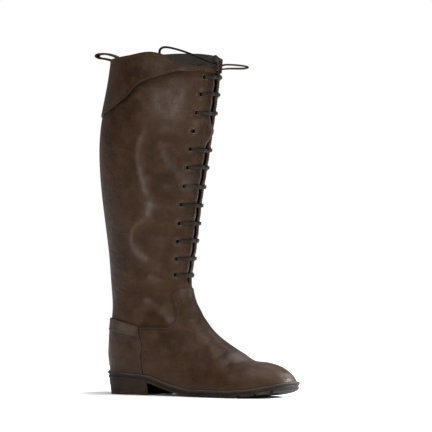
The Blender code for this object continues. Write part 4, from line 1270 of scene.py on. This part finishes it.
def build_upper():
    """Hollow shell from toe to collar, with its lining, raw edges and eyelet holes."""
    rise = np.linspace(0, 1, 14)[1:, None]
    halves = []
    for side in (-1, 1):
        v = leather_columns(UPPER_ROWS, side, LEATHER_SHARES)
        t = np.broadcast_to(UPPER_ROWS[:, None], v.shape)
        top_t = t[-1] + (collar_t(v[-1]) - t[-1]) * rise
        t = np.concatenate([t, top_t])
        v = np.concatenate([v, np.broadcast_to(v[-1], top_t.shape)])
        halves.append(dressed_skin(t, v, flare(skin(t, v), side))[:, ::side])
    upper = panel("shaft_and_foot", halves, BROWN, LINING, EDGE)
    thicken(upper, WALL, outward=False, inner_material=1, rim_material=2)
    apply_modifiers(upper)
    eyelets = [(point, normal) for places in EYELET_PLACES for _, _, point, normal in places]
    holes = bmesh.new()
    for point, normal in eyelets:
        bmesh.ops.create_cone(holes, cap_ends=True, segments=24, radius1=HOLE_RADIUS * MM,
                              radius2=HOLE_RADIUS * MM, depth=12.0 * MM, matrix=facing_matrix(point, normal))
    cut(upper, mesh_from(holes, "holes"), "DIFFERENCE")
    # Painted shade under the cuff's lower edge and beside the vamp seam and the strap's top; a pale line along
    # each facing's edge, darker lines along its stitch rows, and a lighter ring round each eyelet
    v = -np.linspace(0.05, 1.0, 80)
    cuff_edge = skin(cuff_low(v) - 0.8, v)[:, [0, 2]]
    seams = [(cuff_edge, 1.7, 3.0), (curve_through(VAMP_SEAM, 6), 0.45, 2.2),
             (curve_through(STRAP_TOP, 6), 0.5, 2.2)]
    lines = [(facing_spots(FACING_EDGE), 0.0, 1.6, 1.2)]
    lines += [(facing_spots(distance), 0.0, -1.6, 0.9) for distance in FACING_ROWS]
    lines.append(([point for point, _ in eyelets], 4.8, 0.55, 1.1))
    paint(upper, seams, lines)
    settle(upper, "brown_leather", "upper")


def facing_matrix(point, normal):
    """Frame at a point whose z axis is the outward direction."""
    turn = Vector(normal).to_track_quat("Z", "Y").to_matrix().to_4x4()
    return Matrix.Translation(place(point)) @ turn


def side_prism(outline):
    """Shape with an outline seen from the side, running through the whole boot."""
    ends = [[(x, y, z) for x, z in outline] for y in (-90.0, 90.0)]
    return grid_mesh("outline", np.array(ends), ring=True, capped=True)


def overlay(name, rows, share, outline, thickness, material, slot, node):
    """Leather laid on some of the upper's rows and columns, trimmed to an outline seen from the side."""
    halves = []
    for side in (-1, 1):
        v = np.where(share > 0, leather_columns(rows, side, share), 0.0)
        t = np.broadcast_to(rows[:, None], v.shape)
        halves.append(dressed_skin(t, v, -OVERLAY_SINK)[:, ::side])
    piece = panel(name, halves, material, closed_front=share[0] == 0)
    thicken(piece, thickness, outward=True)
    cut(piece, side_prism(outline), "INTERSECT")
    # The strokes' painted sheen and shade
    paint(piece)
    settle(piece, slot, node)


def between(route, low, high):
    """The points of a route seen from the side that lie between two heights."""
    return route[(route[:, 1] > low) & (route[:, 1] < high)]


def lower_edge(x_from, x_to):
    """Line just over the sole, from one station to another."""
    x = np.linspace(x_from, x_to, 60)
    return np.stack([x, feather_z(x) + 0.2], 1)


def build_vamp():
    """Second layer over toe, instep and sides."""
    rows = even_rows(KNOTS[:THROAT_ROW + 3], LEATHER_STEP)
    rear = between(curve_through(COUNTER_FRONT, 12) + (SEAM_GAP, 0.0), 34.0, 86.0)
    beyond = np.array([(300.0, 137.0), (300.0, 22.0)])
    outline = np.concatenate([rear, curve_through(VAMP_SEAM, 12), beyond, lower_edge(290.0, 69.5)])
    overlay("vamp_panel", rows, LEATHER_SHARES, outline, OVERLAY + 0.6, BROWN, "brown_leather", "vamp")


def build_counter():
    """Second layer around the heel, and the strap along its top."""
    share = LEATHER_SHARES[LEATHER_SHARES > 0.4]
    rows = even_rows(KNOTS[COUNTER_ROWS[0]:COUNTER_ROWS[1] + 1], LEATHER_STEP)
    front = between(curve_through(COUNTER_FRONT, 12), 33.0, 72.0)
    top, bottom = curve_through(STRAP_TOP, 12), curve_through(STRAP_BOTTOM, 12)[::-1]
    counter = np.concatenate([front, bottom - (0.0, SEAM_GAP / 2), lower_edge(-12.0, 68.0)])
    overlay("heel_counter", rows, share, counter, OVERLAY + 0.9, BROWN, "brown_leather", "counter")
    strap = np.concatenate([top, bottom])
    overlay("heel_strap", rows, share, strap, OVERLAY + 1.4, STRAP, "strap_leather", "counter_strap")


def cuff_low(v):
    """Lower edge of the cuff on the line v."""
    return height_to_t(table_value(CUFF, CUFF_COLUMNS, np.abs(v), "height"), v)


CUFF_FOOT = float(height_to_t(np.array(CUFF[-1][1]), 1.0))
BACK_TOP = float(collar_t(np.array(1.0)))


def build_cuff():
    """Panel around the collar, with a burnished edge."""
    base = KNOTS[COLLAR_BASE_ROW:COLLAR_BASE_ROW + 1]
    rise = np.linspace(0, 1, 26)[:, None]
    halves = []
    for side in (-1, 1):
        v = leather_columns(base, side, LEATHER_SHARES)[0]
        low = cuff_low(v)
        t = low + (collar_t(v) + 0.3 - low) * rise
        halves.append(dressed_skin(t, np.broadcast_to(v, t.shape), -OVERLAY_SINK)[:, ::side])
    cuff = panel("cuff_panel", halves, DARK, RIM)
    thicken(cuff, OVERLAY + 0.8, outward=True, rim_material=1)
    apply_modifiers(cuff)
    # The strokes' painted sheen and shade
    paint(cuff)
    settle(cuff, "dark_leather", "cuff")


def stay_lift(rows):
    """How far the back stay stands off the upper, to lie over the cuff at its top."""
    return np.interp(rows, [CUFF_FOOT - reach for reach in STAY_BRIDGE], [0.0, OVERLAY])


def build_back_stay():
    """Narrow strip down the back seam, over the cuff at its top."""
    rows = even_rows([KNOTS[STAY_BASE_ROW] - 3.0, CUFF_FOOT, BACK_TOP], LEATHER_STEP)
    reach = STAY_HALF_WIDTH * np.linspace(1.0, 0.0, 7)
    halves = []
    for side in (-1, 1):
        v = np.array([share_at(t, side, reach, 1.0) for t in rows])
        t = np.broadcast_to(rows[:, None], v.shape)
        halves.append(dressed_skin(t, v, np.broadcast_to(stay_lift(rows)[:, None], v.shape)))
    stay = panel("back_stay_strip", [halves[1], halves[0][:, ::-1]], DARK, closed_front=True)
    thicken(stay, STAY, outward=True)
    apply_modifiers(stay)
    # The strokes' painted sheen and shade
    paint(stay)
    settle(stay, "dark_leather", "back_stay")


def pull_loop_route():
    """Middle line of the pull loop, from inside the collar over its arch to the outside."""
    outside = OVERLAY_GAP + OVERLAY + GAP + 1.0 + 2 * GAP + 0.75
    inside = -(WALL + 5 * GAP + 0.75)
    legs = []
    for drop, distance in ((14.0, inside), (4.0, inside), (4.0, outside), (14.0, outside)):
        legs.append(offset_skin(np.array(BACK_TOP - drop), np.array(1.0), np.array(distance)))
    return curve_through([*legs[:2], *PULL_LOOP_ARCH, *legs[2:]], 6)


def build_pull_loop():
    """Folded strap at the back of the collar."""
    route = pull_loop_route()
    tangent = unit(np.gradient(route, axis=0))
    across = np.tile((0.0, 1.0, 0.0), (len(route), 1))
    rings = strip_rings(route, across, np.cross(tangent, across), *PULL_LOOP_SIZE, 20)
    settle(strip("pull_strap", "pull_strap", rings, DARK), "dark_leather", "pull_loop")


def build_tongue():
    """Soft strip behind the throat, clear of the upper's inner face."""
    depth = WALL + GAP + 0.8
    heights = np.linspace(*TONGUE_SPAN, 120)
    rows = np.interp(heights, skin(KNOTS, 0.0)[:, 2], KNOTS)
    reach = np.linspace(*TONGUE_REACH, 9)
    sides = []
    for side in (-1, 1):
        v = np.array([share_at(t, side, reach) for t in rows])
        sides.append(offset_skin(np.broadcast_to(rows[:, None], v.shape), v, np.full(v.shape, -depth)))
    outer, inner = sides
    crown = unit((1.0, 0.0, 0.25))
    middle = []
    for share in np.linspace(0, 1, 9)[1:-1]:
        rise = math.sin(math.pi * share)
        bulge = TONGUE_BULGE * rise + TONGUE_WAVE * np.sin(heights / 11.0) * rise
        middle.append(outer[:, -1] * (1 - share) + inner[:, -1] * share + crown * bulge[:, None])
    points = np.concatenate([outer, np.stack(middle, 1), inner[:, ::-1]], 1)
    tongue = add_piece("tongue_strip", grid_mesh("tongue_strip", points), TONGUE_PAINTED_SHADE)
    thicken(tongue, TONGUE, outward=False)
    settle(tongue, "dark_leather", "tongue")


# ---- sole ----

def sole_stations(inset):
    """Stations from heel to toe, close together around both ends."""
    angles = np.linspace(0, np.pi / 2, ARC_STEPS + 1)
    heel = HEEL_CENTRE - (HEEL_CENTRE - inset) * np.cos(angles)
    toe = BALL + (LENGTH - BALL - inset) * np.sin(angles)
    return np.concatenate([heel, LOFT_STATIONS, toe])


def sole_line(inset, side, height):
    """One lengthwise line of a sole layer, at a height over the tread."""
    x = sole_stations(inset)
    return np.stack([x, side * half_width(x, side, inset) + centre_line(x), tread_z(x) + height], 1)


def sole_layer(name, profile):
    """Solid with the sole's outline, from the inset and height of its side's points, bottom first."""
    lines = [sole_line(inset, -1, height) for inset, height in profile]
    lines += [sole_line(inset, 1, height) for inset, height in reversed(profile)]
    return grid_mesh(name, np.stack(lines, 1), ring=True)


def lug_grooves():
    """Grooves around the forefoot's edge that part the lugs."""
    shape = bmesh.new()
    size = Matrix.Diagonal(Vector((GROOVE_WIDTH, GROOVE_REACH, GROOVE_DEPTH + 6.0, 1000.0)) * MM)
    for side in (-1, 1):
        x = np.linspace(GROOVE_START, LENGTH - 0.5, 600)
        line = np.stack([x, side * half_width(x, side, 0.0) + centre_line(x)], 1)
        arc = arc_length(line)
        for at in np.arange(GROOVE_PITCH / 2, arc[-1] - GROOVE_PITCH / 3, GROOVE_PITCH):
            behind, here, ahead = (
                [np.interp(at + step, arc, values) for values in line.T] for step in (-1, 0, 1)
            )
            spot = (*here, tread_z(here[0]) + GROOVE_DEPTH / 2 - 3.0)
            turn = Matrix.Rotation(math.atan2(ahead[1] - behind[1], ahead[0] - behind[0]), 4, "Z")
            bmesh.ops.create_cube(shape, size=1.0, matrix=Matrix.Translation(place(spot)) @ turn @ size)
    return mesh_from(shape, "lug_grooves")


def build_sole():
    """Outsole with its lugs, and the welt on it."""
    outsole = add_piece("tread_sole", sole_layer("tread_sole", OUTSOLE_PROFILE), SOLE)
    cut(outsole, lug_grooves(), "DIFFERENCE")
    settle(outsole, "sole_rubber", "outsole")
    base = OUTSOLE + GAP
    lines = []
    for inset, height in WELT_PROFILE:
        outer, inner = (sole_line(inset, side, base + height) for side in (-1, 1))
        lines.append(np.concatenate([outer, inner[-2:0:-1]]))
    loop = np.stack(lines, 1)
    mesh = grid_mesh("storm_welt", np.concatenate([loop, loop[:1]]), ring=True)
    welt = settle(add_piece("storm_welt", mesh, WELT_FINISH), "welt_leather", "welt")
    points = mesh_points(welt.data)
    # Painted shade low on the welt, and lighter at its top edge
    set_shade(welt, np.interp(points[:, 2] - tread_z(points[:, 0]) - base, *WELT_SHADE))


def build_heel():
    """Heel block of stacked lifts, worn at the back of its top piece."""
    last = int(np.argmin(np.abs(sole_stations(0.0) - HEEL_LENGTH))) + 1
    rows = []
    for inset, share in HEEL_LEVELS:
        outer, inner = (sole_line(inset, side, 0.5)[:last] for side in (-1, 1))
        row = np.concatenate([outer[::-1], inner[1:]])
        worn = HEEL_WEAR * np.clip((WEAR_REACH - row[:, 0]) / WEAR_REACH, 0, 1) ** 2
        row[:, 2] = worn + (row[:, 2] - worn) * share
        rows.append(row)
    mesh = grid_mesh("heel_block", np.array(rows))
    shape = bmesh.new()
    shape.from_mesh(mesh)
    bmesh.ops.holes_fill(shape, edges=[e for e in shape.edges if e.is_boundary], sides=0)
    bmesh.ops.triangulate(shape, faces=[f for f in shape.faces if len(f.verts) > 4])
    bmesh.ops.recalc_face_normals(shape, faces=shape.faces)
    shape.to_mesh(mesh)
    shape.free()
    settle(add_piece("heel_block", mesh, HEEL_FINISH), "sole_rubber", "heel")


# ---- eyelets and stitches ----

def build_eyelets():
    """Rolled brass rings, as one piece."""
    shape = bmesh.new()
    names = []
    for number, places in enumerate(EYELET_PLACES, 1):
        for (_, _, point, normal), name in zip(places, ("outer", "inner")):
            turn = np.array(Vector(normal).to_track_quat("Z", "Y").to_matrix())
            rings = []
            for angle in turns(24):
                local = np.array([(r * math.cos(angle), r * math.sin(angle), z) for r, z in EYELET_SECTION])
                rings.append(point + local @ turn.T)
            ring = grid_mesh("eyelet", np.array(rings + rings[:1]), ring=True)
            shape.from_mesh(ring)
            bpy.data.meshes.remove(ring)
            names.append("eyelet_%s_%02d" % (name, number))
    mesh = mesh_from(shape, "eyelet_rings")
    settle(add_piece("eyelet_rings", mesh, BRASS), "antique_brass", *names)


def skin_at(x, z, side):
    """Row and column of the upper where it is seen at x and z from the side."""
    rows = np.linspace(0, KNOTS[-1], 260)
    shares = side * np.linspace(0.02, 0.995, 160)
    grid = skin(rows[:, None], shares[None, :])
    found = [np.argmin((grid[..., 0] - px) ** 2 + (grid[..., 2] - pz) ** 2) for px, pz in zip(x, z)]
    i, j = np.unravel_index(found, grid.shape[:2])
    t, v = rows[i], shares[j]
    for _ in range(8):
        here = skin(t, v)
        by_t, by_v = skin_slopes(t, v, 0.3, 0.002)
        by_t, by_v = by_t / 0.6, by_v / 0.004
        dx, dz = x - here[:, 0], z - here[:, 2]
        det = by_t[:, 0] * by_v[:, 2] - by_v[:, 0] * by_t[:, 2]
        det = np.where(np.abs(det) < 1e-3, 1e-3, det)
        t = np.clip(t + np.clip((dx * by_v[:, 2] - by_v[:, 0] * dz) / det, -4, 4), 0, KNOTS[-1])
        v = v + np.clip((by_t[:, 0] * dz - dx * by_t[:, 2]) / det, -0.03, 0.03)
        v = side * np.clip(np.abs(v), 0.004, 0.996)
    return t, v


def shifted(route, distance):
    """A route seen from the side, moved to its left by a distance."""
    tangent = unit(np.gradient(route, axis=0))
    return route + np.stack([-tangent[:, 1], tangent[:, 0]], 1) * distance


def thread_line(t, v, lift):
    """Points and outward directions of a line on the dressed upper."""
    return dressed_skin(t, v, lift), skin_normal(t, v)


def seam_lines(route, lift):
    """Line along a route seen from the side, on both sides of the boot."""
    return [thread_line(*skin_at(route[:, 0], route[:, 1], side), lift) for side in (-1, 1)]


def stitched(line, normals):
    """Evenly spaced short threads along a line on the leather."""
    arc = arc_length(line)
    angles = turns(6)[None, :, None]
    pieces = []
    for start in np.arange(0.6, arc[-1] - STITCH_LENGTH, STITCH_PITCH):
        at = start + STITCH_LENGTH * STITCH_SHARES
        points, up = (
            np.stack([np.interp(at, arc, rows[:, k]) for k in range(3)], 1) for rows in (line, normals)
        )
        up = unit(up)
        points = points + up * STITCH_RISE[:, None]
        across = unit(np.cross(unit(np.gradient(points, axis=0)), up))
        ring = np.cos(angles) * across[:, None] + np.sin(angles) * up[:, None]
        pieces.append(points[:, None] + ring * THREAD_RADIUS[:, None, None])
    return pieces


def rings_mesh(name, pieces):
    """One mesh of many short closed tubes of equal rings."""
    rows, columns = pieces[0].shape[:2]
    one = grid_faces(rows, columns, ring=True, capped=True)
    faces = [tuple(f + n * rows * columns for f in face) for n in range(len(pieces)) for face in one]
    return faces_mesh(name, np.array(pieces), faces)


def facing_lines(distance, count=150):
    """Line along each facing, a distance in from its edge."""
    low, high = (float(height_to_t(np.array(height), 0.05)) for height in FACING_SPAN)
    rows = np.linspace(low, high, count)
    gaps = table_value(SLIT, SLIT_COLUMNS, skin(rows, 0.0)[:, 2], "half_gap")
    lines = []
    for side in (-1, 1):
        edge, v = (np.array([share_at(t, side, gap + inset) for t, gap in zip(rows, gaps)])
                   for inset in (0.0, distance))
        pair = np.stack([skin(rows, edge), skin(rows, v)], 1)
        lines.append(thread_line(rows, v, flare(pair, side)[:, 1]))
    return lines


def facing_spots(distance):
    """Close points along both facings, a distance in from their edges."""
    return np.concatenate([line for line, _ in facing_lines(distance, 420)])


def stay_lines(distance):
    """Line along each edge of the back stay, a distance in from it."""
    rows = np.linspace(KNOTS[STAY_BASE_ROW] + 1.0, BACK_TOP - 16.0, 120)
    lines = []
    for side in (-1, 1):
        v = np.array([float(share_at(t, side, STAY_HALF_WIDTH - distance, 1.0)) for t in rows])
        lines.append(thread_line(rows, v, stay_lift(rows) + STAY))
    return lines


def ring_lines(t_of_v, lift):
    """Line around the shaft on both halves."""
    shares = [side * np.linspace(0.05, 0.955, 160) for side in (-1, 1)]
    return [thread_line(t_of_v(v), v, lift) for v in shares]


def heel_lines(route, lift):
    """Line around the heel at the heights of a route seen from the side."""
    def is_below(t):
        here = skin(t, v)
        return here[:, 2] < np.interp(here[:, 0], route[:, 0], route[:, 1])

    lines = []
    for side in (-1, 1):
        v = side * np.linspace(0.55, 0.999, 140)
        low, high = halved(*(np.full(len(v), KNOTS[row]) for row in COUNTER_ROWS), is_below, 30)
        kept = (skin(low, v)[:, 0] < route[-1, 0] - 1.5) & (high < KNOTS[COUNTER_ROWS[1]] - 0.1)
        lines.append([values[kept] for values in thread_line(low, v, lift)])
    return lines


def build_stitches():
    """Threads of all seams, as one piece that stands for no solid."""
    lift = OVERLAY + 0.3
    strap_lift = OVERLAY + 1.1
    seam = curve_through(VAMP_SEAM, 10)
    seam = seam[seam[:, 0] < 119.0]
    front = between(curve_through(COUNTER_FRONT, 10), 33.0, 72.5)
    lines = []
    for inset in VAMP_ROWS:
        inside = shifted(seam, inset)
        lines += seam_lines(inside[inside[:, 0] < 117.5], lift)
    for inset in COUNTER_STITCH_ROWS:
        lines += seam_lines(shifted(front, inset), lift + 0.3)
    lines += heel_lines(curve_through(STRAP_TOP, 10) - (0.0, STRAP_INSET), strap_lift)
    lines += heel_lines(curve_through(STRAP_BOTTOM, 10) + (0.0, STRAP_INSET), strap_lift)
    for distance in FACING_ROWS:
        lines += facing_lines(distance)
    lines += stay_lines(STAY_INSET)
    lines += ring_lines(lambda v: cuff_low(v) + CUFF_INSET, lift)
    lines += ring_lines(lambda v: collar_t(v) - COLLAR_INSET, lift)
    for side in (-1, 1):
        welt = sole_line(WELT_INSET, side, OUTSOLE + GAP + WELT - 0.05)
        lines.append((welt, np.tile((0.0, 0.0, 1.0), (len(welt), 1))))
    pieces = [piece for line, normals in lines for piece in stitched(line, normals)]
    piece = add_piece("seam_stitches", rings_mesh("seam_stitches", pieces), THREAD)
    piece.data.shade_smooth()
    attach(piece, "root")


set_camera()
build_loops()
build_knot()
build_lace_bars()
build_upper()
build_tongue()
build_vamp()
build_counter()
build_cuff()
build_back_stay()
build_pull_loop()
build_sole()
build_heel()
build_eyelets()
build_stitches()
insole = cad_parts["insole"]
insole.data.materials.clear()
insole.data.materials.append(INSOLE_FINISH)
set_stage()
bpy.context.view_layer.update()
